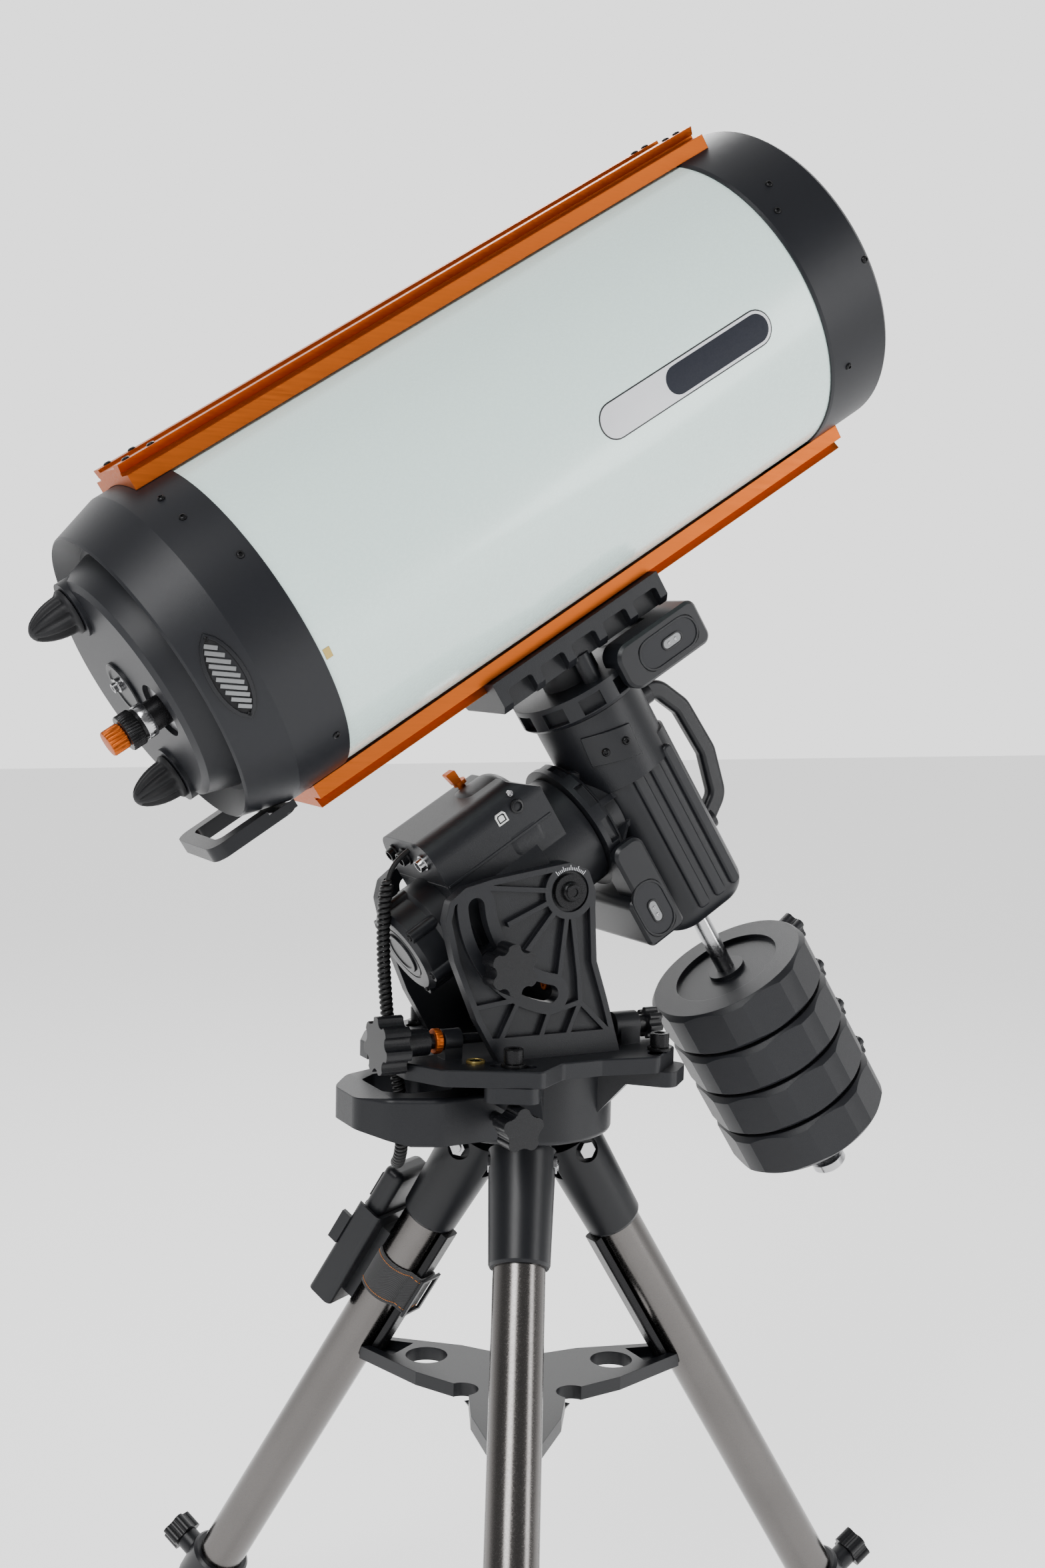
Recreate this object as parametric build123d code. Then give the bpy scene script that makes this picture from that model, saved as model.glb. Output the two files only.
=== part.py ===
"""Schmidt astrograph on a German equatorial mount and tripod, one STEP file per piece.

World frame: millimetres, +Z up, +X towards the celestial pole (level), +Y to the far side.
The origin is on the floor, under the middle of the whole object. All sizes below are given from
the tripod's vertical axis, and every piece is moved by the same step when it is written.

Head frame: origin where the polar axis meets the declination axis.
Its x is the polar axis, its z is the declination axis, its y is the world's y.

Leg frame: origin on the leg's axis at the hub, z down the leg, x inward and down, y sideways.
"""
import os
from math import atan2, cos, degrees, hypot, pi, radians, sin, tan

from build123d import *

os.makedirs("parts", exist_ok=True)

# ---------------------------------------------------------------- driving dimensions
# tripod
HUB_LEVEL = 662.0          # height of the plane where the leg axes are measured from
LEG_SPLAY = 31.89          # from the vertical, degrees
LEG_START_R = 61.6         # radius of a leg's axis at HUB_LEVEL
TRIPOD_TWIST = 2.0         # turn of the tripod against the mount, degrees
LEG_ANGLES = {"north": TRIPOD_TWIST, "left": 120 + TRIPOD_TWIST, "front": -120 + TRIPOD_TWIST}
LEG_R = 25.4               # two inch upper leg
LEG_WALL = 2.0
LOWER_LEG_R = 22.2
UPPER_LEG_START = 35.0     # distances along a leg
SLEEVE_START = -22.0
SLEEVE_END = 93.0
UPPER_LEG_END = 628.0
CLAMP_START = 612.0
CLAMP_END = 660.0
LOWER_LEG_START = 200.0
LEG_END = 800.0
HUB_R = 88.0
HUB_BOTTOM = 695.0
HUB_TOP = 767.0
BASE_TOP = 783.0           # top of the azimuth base plate
AZIMUTH_TRAVEL = 7.0       # degrees each way

# mount head
LATITUDE = 32.6            # degrees
AXES_X = 112.4             # where the two axes meet
AXES_Z = 1036.7
PIVOT_Z = 943.0            # altitude pivot, above the tripod's axis
PLATE_OUT = 87.0           # outer faces of the side plates
PLATE_IN = 74.0
SLOT_R = 100.0             # altitude slot, about the pivot
KNOB_ANGLE = 222.0         # altitude lock, about the pivot, at rest
RA_R = 60.0
RA_FRONT = -82.0
RA_BACK = -240.0
DEC_BOTTOM = -158.0
DEC_R = 57.0
SHAFT_R = 9.525            # three quarter inch counterweight bar
SHAFT_END = -492.0
WEIGHT_R = 89.0
WEIGHT_THICK = 50.0
WEIGHT_PITCH = 54.0
WEIGHT_TOP = -233.0

# telescope
TUBE_AXIS = 355.6          # height of the tube's axis along the declination axis
TUBE_R = 158.2
TUBE_BACK = -264.0
TUBE_FRONT = 337.0
RING_R = 161.0
RING_END = 415.0
CELL_R = 160.5
CELL_EDGE = -320.0         # where the cell starts to taper
CELL_RIM = -368.0
CELL_RIM_R = 146.0
RAIL_BACK = -300.0
RAIL_FRONT = 375.0
RAIL_TOP = 178.0           # from the tube's axis to a dovetail's outer face
SADDLE_TOP = 187.3
SADDLE_BOTTOM = 154.0

CENTRE_X = 4.98            # middle of the whole object, from the tripod's axis
CENTRE_Y = -8.39

SLIDE_GAP = 0.3            # between bodies that move on each other
FIT_GAP = 0.05             # radial clearance of a shaft in its hole

HEAD = Plane(
    origin=(AXES_X, 0, AXES_Z),
    x_dir=(cos(radians(LATITUDE)), 0, sin(radians(LATITUDE))),
    z_dir=(-sin(radians(LATITUDE)), 0, cos(radians(LATITUDE))),
)
PIVOT = HEAD.to_local_coords(Vector(0, 0, PIVOT_Z))
LOCK_WORLD = Vector(SLOT_R * cos(radians(KNOB_ANGLE)), 0, PIVOT_Z + SLOT_R * sin(radians(KNOB_ANGLE)))
LOCK = HEAD.to_local_coords(LOCK_WORLD)


# ---------------------------------------------------------------- helpers
def save(name, *solids):
    """Write the solids of one node as one STEP file."""
    flat = []
    for item in solids:
        flat.extend((Pos(-CENTRE_X, -CENTRE_Y, 0) * item).solids())
    shape = flat[0] if len(flat) == 1 else Compound(children=[Solid(s.wrapped) for s in flat])
    shape.label = name
    export_step(shape, f"parts/{name}.step")


def rod(start, end, radius):
    """A cylinder from one point to another."""
    a, b = Vector(*start), Vector(*end)
    place = Plane(origin=a, z_dir=(b - a).normalized())
    return place.location * Cylinder(radius, (b - a).length, align=(Align.CENTER, Align.CENTER, Align.MIN))


def block(x, y, z):
    """A box from its three ranges."""
    size = (x[1] - x[0], y[1] - y[0], z[1] - z[0])
    centre = ((x[0] + x[1]) / 2, (y[0] + y[1]) / 2, (z[0] + z[1]) / 2)
    return Pos(*centre) * Box(*size)


def soft_block(x, y, z, radius, axis=Axis.Z):
    """A box with its edges along one axis rounded."""
    solid = block(x, y, z)
    return fillet(solid.edges().filter_by(axis), radius)


def turned(points, place):
    """A solid of revolution. Points are (distance along the axis, radius)."""
    face = make_face(Polyline(*[(r, a) for a, r in points], close=True))
    return place.location * revolve(Plane.XZ * face, Axis.Z)


def along_x(x=0.0, y=0.0, z=0.0):
    """A plane whose z runs along +X."""
    return Plane(origin=(x, y, z), x_dir=(0, 1, 0), z_dir=(1, 0, 0))


def along_y(x=0.0, y=0.0, z=0.0):
    """A plane whose z runs along +Y and whose y runs along +Z."""
    return Plane(origin=(x, y, z), x_dir=(-1, 0, 0), z_dir=(0, 1, 0))


def star(radius, thick, lobes, place):
    """A lobed hand knob standing on a plane."""
    outline = Circle(radius * 0.80)
    for k in range(lobes):
        outline += Rot(0, 0, 360 * k / lobes) * Pos(radius * 0.68, 0) * Circle(radius * 0.32)
    for k in range(lobes):
        outline -= Rot(0, 0, 360 * (k + 0.5) / lobes) * Pos(radius * 1.02, 0) * Circle(radius * 0.26)
    solid = extrude(outline, thick)
    return place.location * solid


def outline_solid(points, place, thick):
    """A straight-sided solid from an outline on a plane."""
    return extrude(place * make_face(Polyline(*points, close=True)), thick)


def leg_plane(angle):
    """The frame of one leg."""
    turn, tilt = radians(angle), radians(LEG_SPLAY)
    down = (sin(tilt) * cos(turn), sin(tilt) * sin(turn), -cos(tilt))
    inward = (-cos(tilt) * cos(turn), -cos(tilt) * sin(turn), -sin(tilt))
    start = (LEG_START_R * cos(turn), LEG_START_R * sin(turn), HUB_LEVEL)
    return Plane(origin=start, x_dir=inward, z_dir=down)


def on_head(solid):
    """Move a solid from the head frame to the world."""
    return HEAD.location * solid


# ---------------------------------------------------------------- tripod
BOLT_R_FRONT, BOLT_ANGLE_FRONT = 127.6, 122.2
BOLT_R_NORTH, BOLT_ANGLE_NORTH = 138.6, 45.0
BOLT_SPOTS = [
    (BOLT_R_FRONT, -BOLT_ANGLE_FRONT),
    (BOLT_R_FRONT, BOLT_ANGLE_FRONT),
    (BOLT_R_NORTH, -BOLT_ANGLE_NORTH),
    (BOLT_R_NORTH, BOLT_ANGLE_NORTH),
]
BOLT_R = 6.0
PIVOT_BOLT_S = -9.0        # leg pivot bolt, along the leg
PIVOT_BOLT_R = 5.0
LUG_WIDTH = 20.0
STRUT_IN, STRUT_OUT = 34.0, 26.0
STRUT_END = 268.0
TRAY_TOP, TRAY_BOTTOM = 431.0, 417.0
HUB_KNOB_X = -70.0
HUB_KNOB_Z = 728.0
CORD_HOLE_X = -132.0


def hub_arm(radius, angle):
    """The arm of the hub under one azimuth bolt, with a rib that runs down the cylinder."""
    tip = radius + 22
    points = [(55, HUB_TOP), (tip, HUB_TOP), (tip, HUB_TOP - 15), (112, HUB_TOP - 15), (84, HUB_TOP - 46), (55, HUB_TOP - 46)]
    half = 26
    arm = outline_solid(points, Plane(origin=(0, half, 0), x_dir=(1, 0, 0), z_dir=(0, -1, 0)), 2 * half)
    arm = fillet(arm.edges().filter_by(Axis.Z).sort_by(Axis.X)[-2:], 12)
    arm = arm - Pos(radius, 0, HUB_TOP) * Cylinder(BOLT_R + FIT_GAP, 60)
    return Rot(0, 0, angle) * arm


def hub():
    """Tripod hub: a drum with four arms, three leg lugs and a carrying loop."""
    body = Pos(0, 0, (HUB_BOTTOM + HUB_TOP) / 2) * Cylinder(HUB_R, HUB_TOP - HUB_BOTTOM)
    body = fillet(body.edges().filter_by(GeomType.CIRCLE).sort_by(Axis.Z)[0], 5)
    for radius, angle in BOLT_SPOTS:
        body += hub_arm(radius, angle)
    loop = [(-50, -74), (-128, -76), (-172, -56), (-194, -26), (-194, 26), (-172, 56), (-128, 76), (-50, 74)]
    handle = outline_solid(loop, Plane.XY.offset(704), 46)
    handle = fillet(handle.edges().filter_by(Axis.Z).sort_by(Axis.X)[:6], 22)
    handle = fillet(handle.faces().sort_by(Axis.Z)[-1].edges().filter_by(lambda e: e.center().X < -60), 5)
    hole = [(-98, -44), (-146, -44), (-166, -26), (-166, 26), (-146, 44), (-98, 44)]
    opening = outline_solid(hole, Plane.XY.offset(700), 60)
    opening = fillet(opening.edges().filter_by(Axis.Z), 8)
    under = Pos(-190, 0, 697) * Rot(0, 16, 0) * Box(110, 200, 34)
    above = Pos(-190, 0, 764) * Rot(0, -8, 0) * Box(130, 200, 34)
    body += handle - opening - under - above
    body -= Pos(0, 0, 728) * Cylinder(50, 46)
    for angle in LEG_ANGLES.values():
        frame = leg_plane(angle)
        lug = rod((0, -LUG_WIDTH / 2, PIVOT_BOLT_S), (0, LUG_WIDTH / 2, PIVOT_BOLT_S), 15)
        lug += block((-6, 24), (-LUG_WIDTH / 2, LUG_WIDTH / 2), (-56, PIVOT_BOLT_S))
        lug -= rod((0, -40, PIVOT_BOLT_S), (0, 40, PIVOT_BOLT_S), PIVOT_BOLT_R + FIT_GAP)
        lug = frame.location * lug
        body += lug & block((-200, 200), (-200, 200), (600, HUB_BOTTOM + 4))
    return body - rod((HUB_KNOB_X, -44, HUB_KNOB_Z), (HUB_KNOB_X, -130, HUB_KNOB_Z), 5 + FIT_GAP)


def sleeves():
    """Cast leg tops: a taper over the leg's tube, forked over the hub's lug."""
    found = []
    for angle in LEG_ANGLES.values():
        profile = [(SLEEVE_START, 0), (SLEEVE_START, 33.5), (SLEEVE_END - 3, 30), (SLEEVE_END, 28.5), (SLEEVE_END, 0)]
        sleeve = turned(profile, Plane.XY)
        sleeve -= rod((0, 0, UPPER_LEG_START), (0, 0, SLEEVE_END + 5), LEG_R)
        sleeve -= block((-17, 50), (-LUG_WIDTH / 2 - SLIDE_GAP, LUG_WIDTH / 2 + SLIDE_GAP), (-60, 12))
        sleeve -= rod((0, -50, PIVOT_BOLT_S), (0, 50, PIVOT_BOLT_S), PIVOT_BOLT_R + FIT_GAP)
        for side in (-1, 1):
            sleeve -= rod((0, side * 27.0, PIVOT_BOLT_S), (0, side * 40.0, PIVOT_BOLT_S), 13)
        sleeve = leg_plane(angle).location * sleeve
        found.append(sleeve - block((-200, 200), (-200, 200), (HUB_BOTTOM - SLIDE_GAP, 760)))
    return found


def leg_pivot_bolts():
    """Hex bolts with nuts through the leg tops."""
    found = []
    for angle in LEG_ANGLES.values():
        bolt = rod((0, -33, PIVOT_BOLT_S), (0, 36, PIVOT_BOLT_S), PIVOT_BOLT_R)
        head = Plane(origin=(0, -27, PIVOT_BOLT_S), z_dir=(0, -1, 0)) * RegularPolygon(9, 6)
        nut = Plane(origin=(0, 27, PIVOT_BOLT_S), z_dir=(0, 1, 0)) * RegularPolygon(9, 6)
        bolt += extrude(head, 6.5)
        bolt += extrude(nut, 7.5)
        found.append(leg_plane(angle).location * bolt)
    return found


def tube_between(start, end, radius, wall):
    """A round tube down a leg."""
    return rod((0, 0, start), (0, 0, end), radius) - rod((0, 0, start - 1), (0, 0, end + 1), radius - wall)


def upper_legs():
    """Stainless upper tubes."""
    tube = tube_between(UPPER_LEG_START, UPPER_LEG_END, LEG_R, LEG_WALL)
    return [leg_plane(angle).location * tube for angle in LEG_ANGLES.values()]


def lower_leg(angle):
    """A stainless lower tube with its rubber boot, cut level with the floor."""
    tube = tube_between(LOWER_LEG_START, 762, LOWER_LEG_R, LEG_WALL)
    boot = rod((0, 0, 762), (0, 0, 860), LOWER_LEG_R + 3)
    place = leg_plane(angle).location
    return place * tube, (place * boot) & block((-700, 700), (-700, 700), (0, 300))


def leg_clamps():
    """Split collars that grip the lower tubes, with a boss for the clamp knob."""
    found = []
    for angle in LEG_ANGLES.values():
        collar = rod((0, 0, CLAMP_START), (0, 0, CLAMP_END), 33)
        collar = chamfer(collar.edges().filter_by(GeomType.CIRCLE), 3)
        collar += rod((0, 0, (CLAMP_START + CLAMP_END) / 2), (-46, 0, (CLAMP_START + CLAMP_END) / 2), 13)
        collar -= rod((0, 0, CLAMP_START - 1), (0, 0, UPPER_LEG_END), LEG_R)
        collar -= rod((0, 0, UPPER_LEG_END - 1), (0, 0, CLAMP_END + 1), LOWER_LEG_R + FIT_GAP)
        collar -= rod((-25, 0, (CLAMP_START + CLAMP_END) / 2), (-60, 0, (CLAMP_START + CLAMP_END) / 2), 4 + FIT_GAP)
        found.append(leg_plane(angle).location * collar)
    return found


def leg_clamp_knob(angle):
    """The screw knob of a leg clamp, pointing outward."""
    middle = (CLAMP_START + CLAMP_END) / 2
    knob = star(19, 20, 5, Plane(origin=(-46.5, 0, middle), x_dir=(0, 1, 0), z_dir=(-1, 0, 0)))
    knob += rod((-28, 0, middle), (-50, 0, middle), 4)
    return leg_plane(angle).location * knob


def tray_struts():
    """Flat bars down the inner side of the legs to the tray's tips."""
    found = []
    for angle in LEG_ANGLES.values():
        bar = block((STRUT_OUT, STRUT_IN), (-11, 11), (SLEEVE_END + 1, STRUT_END))
        bar += block((LEG_R + 0.1, STRUT_IN), (-8, 8), (STRUT_END - 16, STRUT_END))
        bar = fillet(bar.edges().filter_by(Axis.Z).sort_by(Axis.X)[-2:], 3)
        found.append(leg_plane(angle).location * bar)
    return found


def tray():
    """Three-armed accessory tray with eyepiece holes, held by its tips."""
    plate = Pos(0, 0, (TRAY_TOP + TRAY_BOTTOM) / 2) * Cylinder(62, TRAY_TOP - TRAY_BOTTOM)
    arm = [(0, -52), (96, -44), (186, -17), (192, 0), (186, 17), (96, 44), (0, 52)]
    for angle in LEG_ANGLES.values():
        plate += Rot(0, 0, angle) * outline_solid(arm, Plane.XY.offset(TRAY_BOTTOM), TRAY_TOP - TRAY_BOTTOM)
    for angle in LEG_ANGLES.values():
        plate -= Rot(0, 0, angle) * Pos(112, 0, TRAY_TOP) * Cylinder(22, 60)
        pocket = outline_solid([(142, -20), (172, -12), (172, 12), (142, 20)], Plane.XY.offset(TRAY_TOP - 9), 12)
        plate -= Rot(0, 0, angle) * pocket
        plate -= Rot(0, 0, angle + 60) * Pos(64, 0, TRAY_TOP) * Cylinder(16.5, 60)
        keep_off = rod((0, 0, 150), (0, 0, 400), LEG_R + 0.4)
        keep_off += block((STRUT_OUT - 3, STRUT_IN + 0.1), (-11.2, 11.2), (150, STRUT_END + 1))
        plate -= leg_plane(angle).location * keep_off
    plate = plate.solids().sort_by(SortBy.VOLUME)[-1]
    plate += turned([(TRAY_BOTTOM, 50), (TRAY_BOTTOM, 44), (372, 20), (372, 27)], Plane.XY)
    for k in range(3):
        web = outline_solid([(20, TRAY_BOTTOM), (60, TRAY_BOTTOM), (27, 372), (12, 372)], Plane.XZ.offset(-3), 6)
        plate += Rot(0, 0, TRIPOD_TWIST + 60 + 120 * k) * web
    return plate - Pos(0, 0, TRAY_TOP) * Cylinder(5 + FIT_GAP, 80)


def tray_knob():
    """The knurled knob in the middle of the tray."""
    knob = Pos(0, 0, TRAY_TOP + 9.3) * Cylinder(17, 18)
    grip = knob.edges().filter_by(GeomType.CIRCLE)
    knob = chamfer(grip, 2)
    return knob + Pos(0, 0, TRAY_TOP - 10) * Cylinder(5, 44)


def azimuth_bolts():
    """Socket cap bolts with washers through the base plate's slots, into the hub."""
    found = []
    for radius, angle in BOLT_SPOTS:
        bolt = Pos(0, 0, (HUB_TOP - 13 + BASE_TOP + 6) / 2) * Cylinder(BOLT_R, BASE_TOP + 6 - HUB_TOP + 13)
        bolt += Pos(0, 0, BASE_TOP + SLIDE_GAP + 1.5) * Cylinder(12, 3)
        head = Pos(0, 0, BASE_TOP + SLIDE_GAP + 3 + 7) * Cylinder(9.5, 14)
        head = chamfer(head.edges().filter_by(GeomType.CIRCLE), 0.8)
        bolt += head
        socket = extrude(Plane.XY.offset(BASE_TOP + SLIDE_GAP + 9) * RegularPolygon(5.8, 6), 12)
        found.append(Rot(0, 0, angle) * Pos(radius, 0, 0) * (bolt - socket))
    return found


def hub_knob():
    """A five-lobed knob screwed into the hub's near side."""
    y = -112.0
    knob = star(21.5, 24, 5, Plane(origin=(HUB_KNOB_X, y, HUB_KNOB_Z), x_dir=(0, 0, 1), z_dir=(0, -1, 0)))
    return knob + rod((HUB_KNOB_X, -60, HUB_KNOB_Z), (HUB_KNOB_X, y - 4, HUB_KNOB_Z), 5)


# the hand control hangs on the left leg: positions in that leg's frame
HANDSET_S = (66.0, 262.0)
HANDSET_X = -46.0


def handset_frame():
    """The left leg's frame turned so that x points at the hand control."""
    return leg_plane(LEG_ANGLES["left"])


def handset_holder():
    """A shallow trough that clips to the leg, open at its top end."""
    place = handset_frame().location
    shell = soft_block((-62, -31), (-36, 36), (118, 240), 7)
    inner = block((-70, -35), (-32.3, 32.3), (110, 236))
    saddle = block((-34, -20), (-16, 16), (134, 226)) - rod((0, 0, 100), (0, 0, 300), LEG_R + 0.1)
    holder = (shell - inner) + saddle
    hook = block((-72, -60), (-36, -31), (140, 176)) + block((-72, -60), (31, 36), (140, 176))
    return place * (holder + hook)


def hand_control():
    """The hand control's case in its holder."""
    body = soft_block((-59, -35.4), (-30, 30), (66, 234), 9)
    body = fillet(body.edges().filter_by(GeomType.LINE).filter_by(Axis.Y), 8)
    return handset_frame().location * body


def handset_strap():
    """Webbing round the leg that holds the holder."""
    band = rod((0, 0, 150), (0, 0, 198), LEG_R + 4) + block((0, STRUT_IN + 4), (-16, 16), (150, 198))
    band -= rod((0, 0, 140), (0, 0, 210), LEG_R + 0.3) + block((0, STRUT_IN + 0.3), (-11.5, 11.5), (140, 210))
    band -= block((-60, -19), (-16.4, 16.4), (130, 230))
    return handset_frame().location * band


# ---------------------------------------------------------------- azimuth base
AZ_SCREW_Y = -50.0
AZ_SCREW_Z = 800.0
PEG_X = -14.0              # the peg on the hub between the azimuth screws
PEG_R = 7.0


def azimuth_base():
    """The base plate with slots for the azimuth bolts and blocks for the azimuth screws."""
    half = [(-156, 56), (-134, 97), (-53, 140), (-18, 114), (25, 114), (82, 125), (122, 88)]
    points = [(x, -y) for x, y in half] + list(reversed(half))
    plate = outline_solid(points, Plane.XY.offset(HUB_TOP), BASE_TOP - HUB_TOP)
    plate = fillet(plate.edges().filter_by(Axis.Z), 9)
    plate = chamfer(plate.faces().sort_by(Axis.Z)[-1].edges(), 1.2)
    notch = soft_block((-190, -112), (-36, 36), (HUB_TOP - 1, BASE_TOP + 1), 12)
    plate -= notch
    peg_spot = (hypot(PEG_X, AZ_SCREW_Y), degrees(atan2(AZ_SCREW_Y, PEG_X)))
    for radius, angle in BOLT_SPOTS + [peg_spot]:
        slot_r = (PEG_R if radius < 100 else BOLT_R) + 0.6
        for step in range(-6, 7):
            turn = angle + AZIMUTH_TRAVEL * step / 6
            plate -= Rot(0, 0, turn) * Pos(radius, 0, HUB_TOP + 8) * Cylinder(slot_r, 30)
    blocks = block((-116, -98), (AZ_SCREW_Y - 9, AZ_SCREW_Y + 9), (BASE_TOP, AZ_SCREW_Z))
    blocks += rod((-116, AZ_SCREW_Y, AZ_SCREW_Z), (-98, AZ_SCREW_Y, AZ_SCREW_Z), 11)
    blocks += block((74, 96), (AZ_SCREW_Y - 14, AZ_SCREW_Y + 14), (BASE_TOP, AZ_SCREW_Z))
    blocks += rod((70, AZ_SCREW_Y, AZ_SCREW_Z), (97, AZ_SCREW_Y, AZ_SCREW_Z), 14)
    blocks += block((22, 34), (-PLATE_IN, PLATE_IN), (BASE_TOP, BASE_TOP + 62))
    screw_way = rod((-200, AZ_SCREW_Y, AZ_SCREW_Z), (200, AZ_SCREW_Y, AZ_SCREW_Z), 5 + FIT_GAP)
    return plate + (blocks - screw_way)


def azimuth_peg():
    """The peg on the hub that the azimuth screws push against."""
    return rod((PEG_X, AZ_SCREW_Y, HUB_TOP), (PEG_X, AZ_SCREW_Y, AZ_SCREW_Z + 8), PEG_R)


def azimuth_knob(side):
    """A knob with its screw: side -1 is the south one, +1 the north one."""
    y, z = AZ_SCREW_Y, AZ_SCREW_Z
    if side < 0:
        knob = star(28, 26, 7, Plane(origin=(-158, y, z), x_dir=(0, 0, 1), z_dir=(-1, 0, 0)))
        knob += rod((-159, y, z), (-132, y, z), 13)
        knob += rod((-133, y, z), (-117, y, z), 7.5)
        return knob + rod((-118, y, z), (-34, y, z), 5)
    knob = star(16, 14, 7, Plane(origin=(108, y, z), x_dir=(0, 0, 1), z_dir=(1, 0, 0)))
    knob += rod((98, y, z), (109, y, z), 9)
    return knob + rod((99, y, z), (6, y, z), 5)


def plate_outline(inset=0.0):
    """Side plate outline in (x, z), as one face on the world's XZ plane at y = 0."""
    corners = [(-73, 783), (59.5, 783), (43, 838), (31, 874), (28, 925), (28, 943)]
    points = corners + [(20, 963), (0, 971), (-83, 958), (-111, 951), (-127, 938), (-131, 920), (-121, 881), (-97, 824)]
    face = make_face(Polyline(*points, close=True))
    rounded = [v for v in face.vertices() if v.Y > 900]
    face = fillet(rounded, 7)
    if inset:
        face = offset(face, -inset)
    return face


def slot_face(width):
    """The altitude slot's outline: an arc about the pivot with round ends."""
    start, end, steps = 186, 259, 24
    face = Sketch()
    for k in range(steps + 1):
        turn = radians(start + (end - start) * k / steps)
        face += Pos(SLOT_R * cos(turn), PIVOT_Z + SLOT_R * sin(turn)) * Circle(width / 2)
    outer = SLOT_R + width / 2
    inner = SLOT_R - width / 2
    ring = Pos(0, PIVOT_Z) * (Circle(outer) - Circle(inner))
    far = 300
    wedge = make_face(
        Polyline(
            (0, PIVOT_Z),
            (far * cos(radians(start)), PIVOT_Z + far * sin(radians(start))),
            (-far, PIVOT_Z - far),
            (far * cos(radians(end)), PIVOT_Z + far * sin(radians(end))),
            close=True,
        )
    )
    ends = Sketch()
    for turn in (radians(start), radians(end)):
        ends += Pos(SLOT_R * cos(turn), PIVOT_Z + SLOT_R * sin(turn)) * Circle(width / 2)
    return (ring & wedge) + ends


RIB_WIDTH = 5.0
RIB_POCKET = 6.0
RIBS = [
    ((0, 943), (-90, 950)),
    ((0, 943), (-66, 914)),
    ((0, 943), (-48, 884)),
    ((0, 943), (-10, 856)),
    ((0, 943), (12, 860)),
    ((12, 860), (14, 835)),
    ((14, 835), (-8, 783)),
    ((14, 835), (50, 800)),
    ((-52, 842), (-73, 800)),
    ((-52, 842), (-100, 836)),
    ((-20, 826), (-36, 783)),
    ((14, 835), (-20, 826)),
]


def side_plate(side):
    """A fork side plate with its slot, pivot hole and pockets between ribs on the outside."""
    y_plane = Plane(origin=(0, 0, 0), x_dir=(1, 0, 0), z_dir=(0, -1, 0))
    low, high = (PLATE_IN, PLATE_OUT)
    solid = extrude(y_plane * plate_outline(), high)
    solid &= block((-300, 300), (-high, -low), (700, 1100))
    solid -= extrude(y_plane * slot_face(17), high + 1)
    solid -= extrude(y_plane * Pos(0, PIVOT_Z) * Circle(9 + FIT_GAP), high + 1)
    pocket = plate_outline(6.0) - slot_face(40) - Pos(0, PIVOT_Z) * Circle(27)
    pocket -= Pos(0, 791) * Rectangle(400, 30)
    for (x0, z0), (x1, z1) in RIBS:
        length = hypot(x1 - x0, z1 - z0)
        turn = degrees(atan2(z1 - z0, x1 - x0))
        pocket -= Pos((x0 + x1) / 2, (z0 + z1) / 2) * Rot(0, 0, turn) * Rectangle(length, RIB_WIDTH)
    pocket = [f for f in pocket.faces() if f.area > 30]
    for face in pocket:
        cut = extrude(y_plane * face, high + 1) & block((-300, 300), (-high - 1, -high + RIB_POCKET), (700, 1100))
        solid -= cut
    solid -= extrude(y_plane * Pos(0, PIVOT_Z) * Circle(20), high + 1) & block(
        (-60, 60), (-high - 1, -high + 3), (900, 1000)
    )
    if side > 0:
        solid = mirror(solid, Plane.XZ)
    return solid


# ---------------------------------------------------------------- altitude head (head frame)
POD_TOP = 95.0
POD_HALF = 57.0
LEVER_AT = (-150.0, 22.0)
LEVER_LOW = 98.4


def ra_housing():
    """The polar axis housing: a barrel, the electronics pod on top and the side lugs."""
    body = rod((RA_FRONT, 0, 0), (-150, 0, 0), RA_R)
    body += rod((-140, 0, 0), (RA_BACK, 0, 0), RA_R + 4)
    pod = soft_block((RA_BACK, -108), (-POD_HALF, POD_HALF), (0, POD_TOP), 24, Axis.X)
    pod -= Pos(-96, 0, 104) * Rot(0, 40, 0) * Box(40, 200, 60)
    crown = rod((-118, 0, 40), (-172, 0, 40), 58)
    crown = fillet(crown.edges().filter_by(GeomType.CIRCLE), 14)
    body += pod
    body += crown
    lug = rod((PIVOT.X, -PLATE_IN + SLIDE_GAP, PIVOT.Z), (PIVOT.X, PLATE_IN - SLIDE_GAP, PIVOT.Z), 27)
    body += lug
    for side in (-1, 1):
        inner, outer = side * 47.0, side * (PLATE_IN - SLIDE_GAP)
        body += rod((LOCK.X, inner, LOCK.Z), (LOCK.X, outer, LOCK.Z), 15)
        body += block((LOCK.X, -196), sorted((inner, outer)), (LOCK.Z - 14, LOCK.Z + 14))
        body -= rod((LOCK.X, side * 40, LOCK.Z), (LOCK.X, side * 90, LOCK.Z), 6 + FIT_GAP)
        body -= rod((PIVOT.X, side * 56, PIVOT.Z), (PIVOT.X, side * 90, PIVOT.Z), 9)
    body -= rod((-96, 0, 0), (-232, 0, 0), 52)
    body -= rod((RA_FRONT + 1, 0, 0), (-97, 0, 0), 30 + FIT_GAP)
    body -= rod((LEVER_AT[0], LEVER_AT[1], POD_TOP - 6), (LEVER_AT[0], LEVER_AT[1], POD_TOP + 20), 4 + FIT_GAP)
    body = body.solids().sort_by(SortBy.VOLUME)[-1]
    return on_head(body)


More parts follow.
